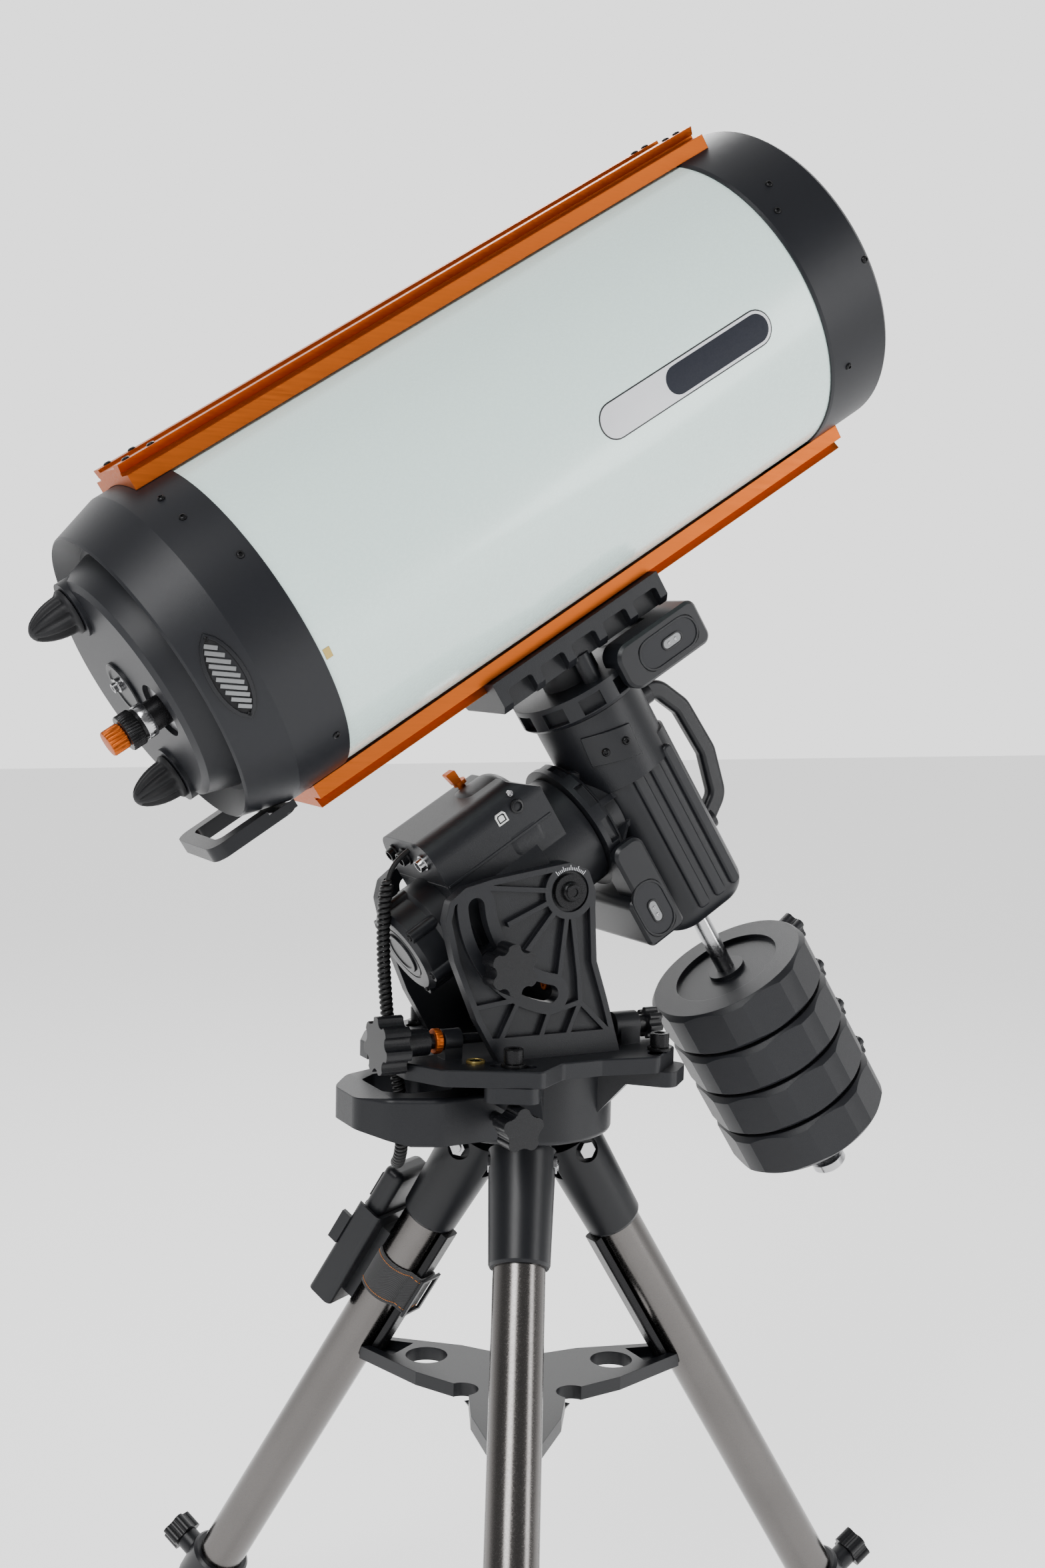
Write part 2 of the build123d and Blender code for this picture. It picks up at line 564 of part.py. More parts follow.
def ra_end_cap():
    """The ribbed round cover on the back end of the polar axis."""
    profile = [(RA_BACK, 0), (RA_BACK, 50), (-262, 50), (-266, 46), (-290, 46), (-295, 41), (-295, 0)]
    cap = turned(profile, along_x())
    cap -= rod((-238, 0, 0), (-286, 0, 0), 40)
    for k in range(6):
        turn = radians(30 + 60 * k)
        boss = rod((-262, 45 * cos(turn), 45 * sin(turn)), (-292, 45 * cos(turn), 45 * sin(turn)), 6.5)
        cap += boss
    cap -= rod((-240, 0, 0), (-286, 0, 0), 38)
    ring = rod((-294, 0, 0), (-296, 0, 0), 30) - rod((-293, 0, 0), (-297, 0, 0), 28)
    return on_head(cap - ring)


def altitude_pivots():
    """Shouldered pivot bolts through the side plates into the polar axis housing."""
    found = []
    for side in (-1, 1):
        bolt = rod((PIVOT.X, side * 57, PIVOT.Z), (PIVOT.X, side * 89, PIVOT.Z), 9)
        bolt += rod((PIVOT.X, side * (PLATE_OUT - 2.7), PIVOT.Z), (PIVOT.X, side * 89, PIVOT.Z), 17)
        dome = rod((PIVOT.X, side * 88, PIVOT.Z), (PIVOT.X, side * 94, PIVOT.Z), 10)
        dome = fillet(dome.edges().filter_by(GeomType.CIRCLE).sort_by(Axis.Y)[-1 if side > 0 else 0], 4)
        found.append(on_head(bolt + dome))
    return found


def altitude_knob(side):
    """The lobed knob that locks the altitude, on its stud through the slot."""
    y = side * (PLATE_OUT + SLIDE_GAP)
    base = Plane(origin=(LOCK.X, y + side * 9, LOCK.Z), x_dir=(1, 0, 0), z_dir=(0, side, 0))
    knob = star(25, 24, 6, base)
    knob += rod((LOCK.X, y, LOCK.Z), (LOCK.X, y + side * 10, LOCK.Z), 14)
    return on_head(knob + rod((LOCK.X, side * 58, LOCK.Z), (LOCK.X, y + side * 2, LOCK.Z), 6))


def clutch_lever():
    """The small anodised lever that frees the polar axis."""
    x, y = LEVER_AT
    lever = rod((x, y, LEVER_LOW), (x, y, LEVER_LOW + 4), 7)
    lever += rod((x, y, POD_TOP - 5), (x, y, LEVER_LOW + 1), 4)
    paddle = outline_solid(
        [(-5, 0), (3, 0), (2, 15), (-9, 15)],
        Plane(origin=(x - 2, y + 5, LEVER_LOW + 2), x_dir=(1, 0, 0), z_dir=(0, -1, 0)),
        10,
    )
    paddle = fillet(paddle.edges().filter_by(Axis.Y), 1.5)
    return on_head(lever + paddle)


def ra_shaft():
    """The polar shaft with its worm wheel, carried by the declination housing."""
    profile = [(-80, 0), (-80, 30), (-108, 30), (-108, 46), (-122, 46), (-122, 20), (-225, 20), (-225, 0)]
    return on_head(turned(profile, along_x()))


# ---------------------------------------------------------------- declination housing (head frame)
def dec_housing():
    """The declination housing: neck, body, foot flange towards the polar axis and its ribs."""
    neck = rod((0, 0, 20), (0, 0, 100), DEC_R)
    body = block((-50, 56), (-48, 48), (DEC_BOTTOM, 44))
    body = fillet(body.edges().filter_by(Axis.Z), 34)
    body = fillet(body.faces().sort_by(Axis.Z)[0].edges(), 24)
    housing = neck + body
    for side in (-1, 1):
        near, far = side * 40.0, side * 51.5
        for x0, x1 in ((-16, -2), (6, 20), (28, 40)):
            ridge = soft_block((x0, x1), sorted((near, far)), (-138, 30), 5, Axis.Y)
            outer = ridge.faces().sort_by(Axis.Y)[-1 if side > 0 else 0]
            housing += fillet(outer.edges(), 3)
    flange = rod((-80, 0, 0), (-60, 0, 0), 68)
    flange = chamfer(flange.edges().filter_by(GeomType.CIRCLE).sort_by(Axis.X)[-1], 6)
    for k in range(10):
        flange -= Rot(36 * k, 0, 0) * block((-74, -63), (61, 70), (-13, 13))
    housing += flange
    housing += rod((-61, 0, 0), (-40, 0, 0), 44)
    for k in range(8):
        turn = 22.5 + 45 * k
        rib = outline_solid(
            [(-62, 40), (-62, 64), (-40, 46), (-20, 40)],
            Plane(origin=(0, 3, 0), x_dir=(1, 0, 0), z_dir=(0, -1, 0)),
            6,
        )
        housing += Rot(turn, 0, 0) * rib
    housing -= rod((0, 0, DEC_BOTTOM - 1), (0, 0, -120), SHAFT_R)
    housing -= rod((0, 0, 70), (0, 0, 101), 26 + FIT_GAP)
    housing = housing.solids().sort_by(SortBy.VOLUME)[-1]
    cavity = block((-30, 36), (-30, 30), (-110, 60))
    return on_head(housing - fillet(cavity.edges().filter_by(Axis.Z), 10))


def ra_motor_cover():
    """The cover of the polar axis motor and belt: a near arm and a box across the mount."""
    arm = soft_block((-84, -48), (-76, -42), (-125, -18), 12, Axis.Y)
    box = soft_block((-95, -48), (-76, 60), (-126, -72), 8, Axis.Y)
    cover = arm + box
    cover = chamfer(cover.faces().sort_by(Axis.Y)[0].edges(), 3)
    cover -= rod((-100, 0, 0), (-40, 0, 0), 69)
    cover -= soft_block((-52, 60), (-50.3, 50.3), (-170, 60), 30, Axis.Z)
    cover -= soft_block((-34, 46), (-58, -30), (-144, 10), 14, Axis.Y)
    cover -= soft_block((-90, -54), (-80, -75), (-121, -62), 14, Axis.Y)
    return on_head(cover.solids().sort_by(SortBy.VOLUME)[-1])


def carry_handle():
    """The arched handle on the north side of the declination housing."""
    middle = [(52, 73), (77, 70), (93, 36), (96, -20), (84, -66), (52, -86)]
    path = FilletPolyline(*[(p, 0, d) for p, d in middle], radius=20)
    section = Plane(origin=path @ 0, z_dir=path % 0) * RectangleRounded(20, 15, 5)
    handle = sweep(section, path=path)
    foot = rod((50, 0, -84), (66, 0, -84), 12) + rod((50, 0, 72), (66, 0, 72), 14)
    handle = handle + foot
    handle -= soft_block((-50, 56), (-48, 48), (DEC_BOTTOM, 44), 34)
    return on_head(handle - rod((0, 0, 20), (0, 0, 100), DEC_R))


def counterweight_shaft():
    """The bright counterweight bar with its black collar."""
    bar = rod((0, 0, -121), (0, 0, SHAFT_END), SHAFT_R)
    return on_head(bar)


def counterweight(index):
    """One cast weight with flats on its rim, and the star knob that locks it to the bar."""
    top = WEIGHT_TOP - WEIGHT_PITCH * index
    disc = rod((0, 0, top), (0, 0, top - WEIGHT_THICK), WEIGHT_R)
    disc = chamfer(disc.edges().filter_by(GeomType.CIRCLE), 5)
    flats = extrude(Plane.XY.offset(top - WEIGHT_THICK - 1) * Rot(0, 0, 11) * RegularPolygon(93, 8), WEIGHT_THICK + 2)
    disc &= flats
    for z0, z1 in ((top, top - 5), (top - WEIGHT_THICK, top - WEIGHT_THICK + 5)):
        disc -= rod((0, 0, z0 + (1 if z1 < z0 else -1)), (0, 0, z1), 58)
    disc += rod((0, 0, top), (0, 0, top - WEIGHT_THICK), 20)
    disc -= rod((0, 0, top + 1), (0, 0, top - WEIGHT_THICK - 1), SHAFT_R + FIT_GAP)
    middle = top - WEIGHT_THICK / 2
    turn = Rot(0, 0, 12)
    disc -= turn * rod((60, 0, middle), (95, 0, middle), 6)
    knob = star(17, 15, 5, Plane(origin=(93, 0, middle), x_dir=(0, 0, 1), z_dir=(1, 0, 0)))
    knob += rod((60.5, 0, middle), (94, 0, middle), 6)
    return on_head(disc), on_head(turn * knob)


def toe_saver():
    """The chromed end screw that stops a weight from sliding off the bar."""
    screw = rod((0, 0, SHAFT_END), (0, 0, SHAFT_END - 12), 19)
    screw = chamfer(screw.edges().filter_by(GeomType.CIRCLE), 2)
    return on_head(screw)


# ---------------------------------------------------------------- saddle (head frame)
SADDLE_P = (-103.0, 107.0)
SADDLE_HALF = 62.0
CHANNEL_HALF = 41.0
CHANNEL_FLOOR = 177.3


def saddle():
    """The dovetail saddle on its ring, with pockets in its flank and a fixed near jaw."""
    body = block(SADDLE_P, (-SADDLE_HALF, CHANNEL_HALF - 6), (SADDLE_BOTTOM, SADDLE_TOP))
    body = chamfer(body.edges().filter_by(Axis.X).sort_by(Axis.Z)[:2], 8)
    body -= block((-120, 120), (-CHANNEL_HALF, CHANNEL_HALF + 1), (CHANNEL_FLOOR, SADDLE_TOP + 1))
    for k in range(5):
        x0 = -92 + 40 * k
        pocket = soft_block((x0, x0 + 30), (-70, -50), (SADDLE_BOTTOM - 4, SADDLE_TOP - 12), 4, Axis.Y)
        body -= pocket
    body += rod((0, 0, 128), (0, 0, SADDLE_BOTTOM + 2), 30)
    body += rod((0, -44, 128), (0, -44, SADDLE_BOTTOM + 4), 9)
    ring = rod((0, 0, 102), (0, 0, 128.5), 66)
    ring = chamfer(ring.edges().filter_by(GeomType.CIRCLE).sort_by(Axis.Z)[0], 4)
    for k in range(10):
        turn = Rot(0, 0, 36 * k)
        ring -= turn * block((58, 70), (-12, 12), (107, 123))
    body += ring
    body += rod((0, 0, 72), (0, 0, 103), 26)
    for x in (-52, 52):
        body -= rod((x, -20, 165.5), (x, 80, 165.5), 6 + FIT_GAP)
    return on_head(body)


def saddle_jaw():
    """The sliding jaw on the saddle's far side."""
    jaw = block((SADDLE_P[0] + 6, SADDLE_P[1] - 6), (CHANNEL_HALF + SLIDE_GAP, SADDLE_HALF), (157, SADDLE_TOP))
    jaw = chamfer(jaw.edges().filter_by(Axis.X).sort_by(Axis.Y)[-2:], 4)
    for x in (-52, 52):
        jaw -= rod((x, 20, 165.5), (x, 80, 165.5), 6.4)
    return on_head(jaw)


def saddle_knob(x):
    """A clamp knob of the saddle on its screw."""
    y = SADDLE_HALF + 6
    knob = star(22, 24, 5, Plane(origin=(x, y + 8, 165.5), x_dir=(1, 0, 0), z_dir=(0, 1, 0)))
    knob += rod((x, y, 165.5), (x, y + 9, 165.5), 11)
    return on_head(knob + rod((x, -14, 165.5), (x, y + 1, 165.5), 6))


def dec_motor_cover():
    """The cover of the declination motor: a near arm and a box across the saddle's ring."""
    arm = soft_block((18, 122), (-76, -44), (100.5, 149), 16, Axis.Y)
    box = soft_block((72, 122), (-76, 60), (100.5, 149), 10, Axis.Y)
    cover = arm + box
    cover = chamfer(cover.faces().sort_by(Axis.Y)[0].edges(), 3)
    cover -= rod((0, 0, 80), (0, 0, 130), 66.3)
    cover -= rod((0, 0, 127), (0, 0, 160), 40)
    cover -= soft_block((40, 112), (-80, -75), (108, 140), 12, Axis.Y)
    return on_head(cover.solids().sort_by(SortBy.VOLUME)[-1])


# ---------------------------------------------------------------- telescope (head frame, tube axis at TUBE_AXIS)
def on_tube(solid):
    """Move a solid from the tube's own frame to the world. There, x is the optical axis."""
    return on_head(Pos(0, 0, TUBE_AXIS) * solid)


def ota_tube():
    """The thin aluminium tube."""
    tube = rod((TUBE_BACK, 0, 0), (TUBE_FRONT, 0, 0), TUBE_R)
    return on_tube(tube - rod((TUBE_BACK - 1, 0, 0), (TUBE_FRONT + 1, 0, 0), TUBE_R - 2))


def front_ring():
    """The cell of the corrector window: a deep ring with a thin front lip."""
    profile = [
        (TUBE_FRONT, TUBE_R - 2), (TUBE_FRONT, RING_R - 1), (TUBE_FRONT + 3, RING_R),
        (RING_END - 4, RING_R), (RING_END, RING_R - 3), (RING_END, 145), (396, 145), (396, 141),
        (388, 141), (388, TUBE_R - 2),
    ]
    return on_tube(turned(profile, along_x()))


def corrector():
    """The full-aperture corrector window, with a hole for the lens group."""
    profile = [(396, 56.3), (396, 145), (402, 145), (402, 56.3)]
    return on_tube(turned(profile, along_x()))


def lens_group():
    """The field corrector's barrel in the middle of the window, with its lenses as a closed front."""
    profile = [
        (330, 0), (330, 50), (388, 56), (396, 56), (402, 56), (402, 62), (408, 62), (412, 56),
        (412, 30), (406, 30), (406, 0),
    ]
    return on_tube(turned(profile, along_x()))


def rear_cell():
    """The cast rear cell: a shell with a tapered side, a sunk back and a raised middle."""
    outer = [
        (TUBE_BACK, CELL_R), (CELL_EDGE, CELL_R), (CELL_RIM + 2, CELL_RIM_R + 1), (CELL_RIM, CELL_RIM_R - 1),
        (-350, 128), (-352, 122), (-382, 112), (-386, 106), (-386, 0),
    ]
    inner = [(-380, 0), (-380, 104), (-346, 116), (-344, 128), (-360, 142), (-318, 155), (TUBE_BACK, 155)]
    cell = turned(outer + inner, along_x())
    hole_y, hole_z = FOCUSER
    cell += rod((-366, hole_y, hole_z), (-384, hole_y, hole_z), 33)
    cell -= rod((-388, hole_y, hole_z), (-378, hole_y, hole_z), 26.2)
    cell -= rod((-390, hole_y, hole_z), (-360, hole_y, hole_z), 9)
    for sign in (-1, 1):
        cell += rod((-370, LOCK_Y, sign * LOCK_D), (-390, LOCK_Y, sign * LOCK_D), 27)
        cell -= rod((-391, LOCK_Y, sign * LOCK_D), (-360, LOCK_Y, sign * LOCK_D), 5 + FIT_GAP)
    return on_tube(cell)


FOCUSER = (-63.0, -16.0)   # (y, d) of the focuser, from the tube's axis
LOCK_Y, LOCK_D = 10.0, 87.0
MIRROR_BACK = -372.0


def primary_mirror():
    """The primary mirror with its cell plate, free to move along the tube for focusing."""
    edge, rim_r, hub_r = -318.0, 143.0, 34.0
    focal = 620.0
    sag = rim_r ** 2 / (4 * focal)
    points = [(edge - 24, hub_r), (edge - 24, rim_r - 20), (edge - 22, rim_r), (edge, rim_r)]
    for k in range(6):
        r = rim_r - (rim_r - hub_r) * (k + 1) / 6
        points.append((edge - sag + r ** 2 / (4 * focal), r))
    mirror_glass = turned(points, along_x())
    baffle = turned([(edge - 24, 24), (edge - 24, 34), (-240, 34), (-240, 31.9), (edge - 22, 31.9), (edge - 22, 24)], along_x())
    return on_tube(mirror_glass + baffle)


def focuser_base():
    """The focuser body on its round steel plate, with a bright graduated band."""
    y, z = FOCUSER
    body = turned([(-378, 0), (-378, 26), (-380.5, 26), (-380.5, 14), (-404, 14), (-404, 15), (-410, 15), (-410, 0)], along_x(0, y, z))
    for side in (-1, 1):
        body -= rod((-376, y, z + side * 20), (-382, y, z + side * 20), 2.2)
    return on_tube(body - rod((-395, y, z), (-411, y, z), 5 + FIT_GAP))


def coarse_focus_knob():
    """The knurled coarse knob."""
    y, z = FOCUSER
    knob = rod((-410.3, y, z), (-424, y, z), 17)
    knob = chamfer(knob.edges().filter_by(GeomType.CIRCLE), 1)
    knob += rod((-396, y, z), (-411, y, z), 5)
    return on_tube(knob - rod((-418, y, z), (-426, y, z), 4 + FIT_GAP))


def fine_focus_knob():
    """The anodised fine knob on the end of the coarse one."""
    y, z = FOCUSER
    knob = rod((-424.3, y, z), (-441, y, z), 12)
    knob = fillet(knob.edges().filter_by(GeomType.CIRCLE).sort_by(Axis.X)[0], 2)
    return on_tube(knob + rod((-419, y, z), (-425, y, z), 4))


def mirror_lock(sign):
    """A bullet-shaped rubber knob that locks the mirror."""
    y, z = LOCK_Y, sign * LOCK_D
    profile = [
        (-390.3, 0), (-390.3, 22), (-394, 20), (-396, 18.5), (-412, 16.5), (-424, 12.5), (-431, 7), (-433, 0),
    ]
    knob = turned(profile, along_x(0, y, z))
    return on_tube(knob + rod((-372, y, z), (-391, y, z), 5))


def dovetail(sign):
    """A wide dovetail bar along the tube: sign +1 is the top one, -1 the one in the saddle."""
    half = [(51, 140), (51, 167), (34, 167), (34, 170), (36, 170), (40, 178)]
    if sign > 0:
        half += [(24, 178), (24, 175)]
    points = half + [(-y, e) for y, e in reversed(half)]
    place = Plane(origin=(RAIL_BACK, 0, 0), x_dir=(0, 1, 0), z_dir=(1, 0, 0))
    bar = outline_solid(points, place, RAIL_FRONT - RAIL_BACK)
    bar -= rod((RAIL_BACK - 1, 0, 0), (CELL_EDGE + 90, 0, 0), CELL_R + 0.02)
    bar -= rod((RAIL_BACK - 1, 0, 0), (TUBE_FRONT + 60, 0, 0), RING_R)
    middle = (RAIL_BACK + RAIL_FRONT) / 2
    for x in (RAIL_BACK + 24, RAIL_FRONT - 30):
        bar -= rod((x, 0, 150), (x, 0, 190), 4.5)
    if sign < 0:
        bar = Rot(180, 0, 0) * bar
    return on_tube(bar)


def cell_handle():
    """The bolted grip that stands back from the cell's lower edge."""
    outer = soft_block((-412, -322), (-52, 52), (-12, 2), 14, Axis.Z)
    window = soft_block((-398, -340), (-36, 36), (-20, 10), 8, Axis.Z)
    grip = Pos(0, 0, -150) * (outer - window)
    feet = block((-345, -322), (-52, -34), (-160, -148)) + block((-345, -322), (34, 52), (-160, -148))
    grip = (grip + feet) - rod((-300, 0, 0), (-349, 0, 0), CELL_R + 0.02)
    grip = grip.solids().sort_by(SortBy.VOLUME)[-1]
    return on_tube(grip)


# ---------------------------------------------------------------- the hand control's cord
CORD_R = 7.0               # outer radius of the curly cord
CORD_POINTS = [
    (-140, -20, 980), (-157, -20, 969), (-163, -18, 940), (-162, -12, 900), (-157, -6, 850),
    (-149, 0, 800), (-140, 4, 765), (-131, 8, 726), (-124, 20, 684), (-116, 48, 654),
    (-106, 82, 650), (-92, 106, 646),
]


def handset_cord():
    """The curly cord as one fat tube along its route."""
    points = [Vector(*p) for p in CORD_POINTS]
    radii = []
    for before, here, after in zip(points, points[1:], points[2:]):
        turn = radians((here - before).get_angle(after - here))
        shorter = min((here - before).length, (after - here).length)
        radii.append(0.45 * shorter / tan(turn / 2))
    print("cord arcs:", [round(r) for r in radii])
    path = FilletPolyline(*points, radius=radii)
    section = Plane(origin=path @ 0, z_dir=path % 0) * Circle(CORD_R)
    tube = sweep(section, path=path)
    print("cord length", round(path.length), "volume ratio", round(tube.volume / (pi * CORD_R ** 2 * path.length), 3))
    return tube


# ---------------------------------------------------------------- write everything
save("tripod_hub", hub() + azimuth_peg())
save("leg_sleeves", *sleeves())
save("leg_pivot_bolts", *leg_pivot_bolts())
save("upper_legs", *upper_legs())
save("leg_clamps", *leg_clamps())
save("tray_struts", *tray_struts())
save("accessory_tray", tray())
save("tray_knob", tray_knob())
save("azimuth_bolts", *azimuth_bolts())
for leg_name, leg_angle in LEG_ANGLES.items():
    save(f"lower_leg_{leg_name}", *lower_leg(leg_angle))
    save(f"leg_clamp_knob_{leg_name}", leg_clamp_knob(leg_angle))
save("hub_knob", hub_knob())
save("handset_holder", handset_holder())
save("handset_strap", handset_strap())
save("hand_control", hand_control())
save("handset_cord", handset_cord())

save("azimuth_base", azimuth_base())
save("azimuth_knob_south", azimuth_knob(-1))
save("azimuth_knob_north", azimuth_knob(1))
save("side_plate_near", side_plate(-1))
save("side_plate_far", side_plate(1))

save("ra_housing", ra_housing())
save("ra_end_cap", ra_end_cap())
save("altitude_pivots", *altitude_pivots())
save("altitude_knob_near", altitude_knob(-1))
save("altitude_knob_far", altitude_knob(1))
save("ra_clutch_lever", clutch_lever())
save("ra_shaft", ra_shaft())

save("dec_housing", dec_housing())
save("ra_motor_cover", ra_motor_cover())
save("carry_handle", carry_handle())
save("counterweight_shaft", counterweight_shaft())
for weight in range(4):
    save(f"counterweight_{weight + 1}", *counterweight(weight))
save("toe_saver", toe_saver())

save("saddle", saddle())
save("saddle_jaw", saddle_jaw())
save("saddle_knob_south", saddle_knob(-52))
save("saddle_knob_north", saddle_knob(52))
save("dec_motor_cover", dec_motor_cover())

save("ota_tube", ota_tube())
save("front_ring", front_ring())
save("corrector_plate", corrector())
save("lens_group", lens_group())
save("rear_cell", rear_cell())
save("primary_mirror", primary_mirror())
save("focuser_base", focuser_base())
save("coarse_focus_knob", coarse_focus_knob())
save("fine_focus_knob", fine_focus_knob())
save("mirror_lock_upper", mirror_lock(1))
save("mirror_lock_lower", mirror_lock(-1))
save("dovetail_top", dovetail(1))
save("dovetail_bottom", dovetail(-1))
save("cell_handle", cell_handle())
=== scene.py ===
"""The looks of a Schmidt astrograph on its equatorial mount and tripod.

Sizes are in millimetres in the three frames below, and in metres once they are placed.
HEAD: x along the polar axis, z along the declination axis, origin where they meet.
TUBE: the same, with its origin on the telescope's optical axis.
leg_frame(angle): z down the leg, x inward, y sideways.
"""
import math

import bmesh
import bpy
from mathutils import Matrix, Vector


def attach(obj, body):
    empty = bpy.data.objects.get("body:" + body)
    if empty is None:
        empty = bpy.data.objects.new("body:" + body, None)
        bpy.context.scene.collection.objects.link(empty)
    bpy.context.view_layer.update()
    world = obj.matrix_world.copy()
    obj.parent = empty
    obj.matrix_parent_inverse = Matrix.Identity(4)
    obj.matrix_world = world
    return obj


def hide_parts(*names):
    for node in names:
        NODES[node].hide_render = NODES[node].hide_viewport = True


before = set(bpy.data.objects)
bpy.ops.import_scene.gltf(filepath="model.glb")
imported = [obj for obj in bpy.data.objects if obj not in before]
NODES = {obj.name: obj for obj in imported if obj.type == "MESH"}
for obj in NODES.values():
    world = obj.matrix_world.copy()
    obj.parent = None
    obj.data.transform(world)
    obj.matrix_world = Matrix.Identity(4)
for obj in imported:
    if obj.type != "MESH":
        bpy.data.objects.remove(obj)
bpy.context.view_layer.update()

# ---------------------------------------------------------------- frames
MM = 0.001
AZIMUTH_SCREW = (-50.0, 800.0)
CENTRE_X, CENTRE_Y = 4.98, -8.39
LATITUDE = math.radians(32.6)
TUBE_AXIS = 355.6
LEG_SPLAY = math.radians(31.89)
LEG_PIVOT_R, LEG_PIVOT_Z = 61.6, 662
BOOT_START = 761.5         # where the rubber boot begins, down a leg
LEG_ANGLES = {"north": 2.0, "left": 122.0, "front": -118.0}

POLE = Vector((math.cos(LATITUDE), 0, math.sin(LATITUDE)))
DEC = Vector((-math.sin(LATITUDE), 0, math.cos(LATITUDE)))


def frame_matrix(origin, x_dir, z_dir):
    """A frame in millimetres, placed in the world in metres."""
    z = Vector(z_dir).normalized()
    x = Vector(x_dir).normalized()
    y = z.cross(x)
    rows = Matrix((x, y, z)).transposed().to_4x4()
    place = Matrix.Translation((Vector(origin) - Vector((CENTRE_X, CENTRE_Y, 0))) * MM)
    return place @ rows @ Matrix.Scale(MM, 4)


WORLD = frame_matrix((0, 0, 0), (1, 0, 0), (0, 0, 1))
HEAD = frame_matrix((112.4, 0, 1036.7), POLE, DEC)
TUBE = HEAD @ Matrix.Translation((0, 0, TUBE_AXIS))


def leg_frame(angle):
    turn = math.radians(angle)
    over, up = math.sin(LEG_SPLAY), math.cos(LEG_SPLAY)
    outward, side = math.cos(turn), math.sin(turn)
    down = (over * outward, over * side, -up)
    inward = (-up * outward, -up * side, -over)
    return frame_matrix((LEG_PIVOT_R * outward, LEG_PIVOT_R * side, LEG_PIVOT_Z), inward, down)


def at(x=0.0, y=0.0, z=0.0):
    return Matrix.Translation((x, y, z))


def facing(direction, up=(0, 0, 1)):
    """A turn that takes +Z to a direction."""
    z = Vector(direction).normalized()
    side = Vector(up).cross(z)
    if side.length < 1e-6:
        side = Vector((1, 0, 0)).cross(z) if abs(z.x) < 0.9 else Vector((0, 1, 0)).cross(z)
    x = side.normalized()
    return Matrix((x, z.cross(x), z)).transposed().to_4x4()


# ---------------------------------------------------------------- materials
def shader(name, color, rough, metal=0.0):
    """A material with its nodes and its principled shader."""
    material = bpy.data.materials.new(name)
    material.use_nodes = True
    nodes, links = material.node_tree.nodes, material.node_tree.links
    body = nodes["Principled BSDF"]
    body.inputs["Base Color"].default_value = (*color, 1)
    body.inputs["Roughness"].default_value = rough
    body.inputs["Metallic"].default_value = metal
    return material, nodes, links, body


def noise(nodes, links, scale, detail=3.0, stretch=None):
    """Noise in the frame's own metres, stretched along an axis if asked."""
    place = nodes.new("ShaderNodeTexCoord")
    cloud = nodes.new("ShaderNodeTexNoise")
    cloud.inputs["Scale"].default_value = scale
    cloud.inputs["Detail"].default_value = detail
    source = place.outputs["Object"]
    if stretch:
        turn = nodes.new("ShaderNodeMapping")
        turn.inputs["Rotation"].default_value = stretch[0]
        turn.inputs["Scale"].default_value = stretch[1]
        links.new(source, turn.inputs["Vector"])
        source = turn.outputs["Vector"]
    links.new(source, cloud.inputs["Vector"])
    return cloud.outputs["Fac"]


def ramp(nodes, links, value, low, high, start=0.3, end=0.7):
    """Maps a value to a range."""
    spread = nodes.new("ShaderNodeMapRange")
    spread.inputs["From Min"].default_value = start
    spread.inputs["From Max"].default_value = end
    spread.inputs["To Min"].default_value = low
    spread.inputs["To Max"].default_value = high
    links.new(value, spread.inputs["Value"])
    return spread.outputs["Result"]


def tint(nodes, links, value, dark, light):
    """Mixes two colours by a value."""
    blend = nodes.new("ShaderNodeMix")
    blend.data_type = "RGBA"
    blend.inputs["A"].default_value = (*dark, 1)
    blend.inputs["B"].default_value = (*light, 1)
    links.new(value, blend.inputs["Factor"])
    return blend.outputs["Result"]


def bump(nodes, links, body, value, strength, depth):
    raised = nodes.new("ShaderNodeBump")
    worn = nodes.new("ShaderNodeBevel")
    worn.samples = 3
    worn.inputs["Radius"].default_value = 0.0009
    links.new(worn.outputs["Normal"], raised.inputs["Normal"])
    raised.inputs["Strength"].default_value = strength
    raised.inputs["Distance"].default_value = depth
    links.new(value, raised.inputs["Height"])
    links.new(raised.outputs["Normal"], body.inputs["Normal"])


def grained(name, color, rough, grain, strength, depth=0.0003, metal=0.0, coat=0.0, sheen=0.0):
    """Paint or moulded plastic: slow colour drift, fine grain in bump and gloss."""
    material, nodes, links, body = shader(name, color, rough, metal)
    slow = noise(nodes, links, 9.0)
    fine = noise(nodes, links, grain, 2.0)
    dark = tuple(c * 0.88 for c in color)
    light = tuple(min(1, c * 1.14 + 0.001) for c in color)
    links.new(tint(nodes, links, slow, dark, light), body.inputs["Base Color"])
    links.new(ramp(nodes, links, fine, rough - 0.05, rough + 0.07), body.inputs["Roughness"])
    bump(nodes, links, body, fine, strength, depth)
    body.inputs["Coat Weight"].default_value = coat
    body.inputs["Sheen Weight"].default_value = sheen
    if max(color) < 0.03:
        body.inputs["Specular IOR Level"].default_value = 0.30
    return material


def brushed(name, color, rough, turn, stretch, strength=0.12, metal=1.0):
    """Metal with fine lines along one direction."""
    material, nodes, links, body = shader(name, color, rough, metal)
    lines = noise(nodes, links, 60.0, 4.0, (turn, stretch))
    dark = tuple(c * 0.86 for c in color)
    links.new(tint(nodes, links, ramp(nodes, links, lines, 0, 1), dark, color), body.inputs["Base Color"])
    links.new(ramp(nodes, links, lines, rough - 0.06, rough + 0.08), body.inputs["Roughness"])
    bump(nodes, links, body, lines, strength, 0.0001)
    return material


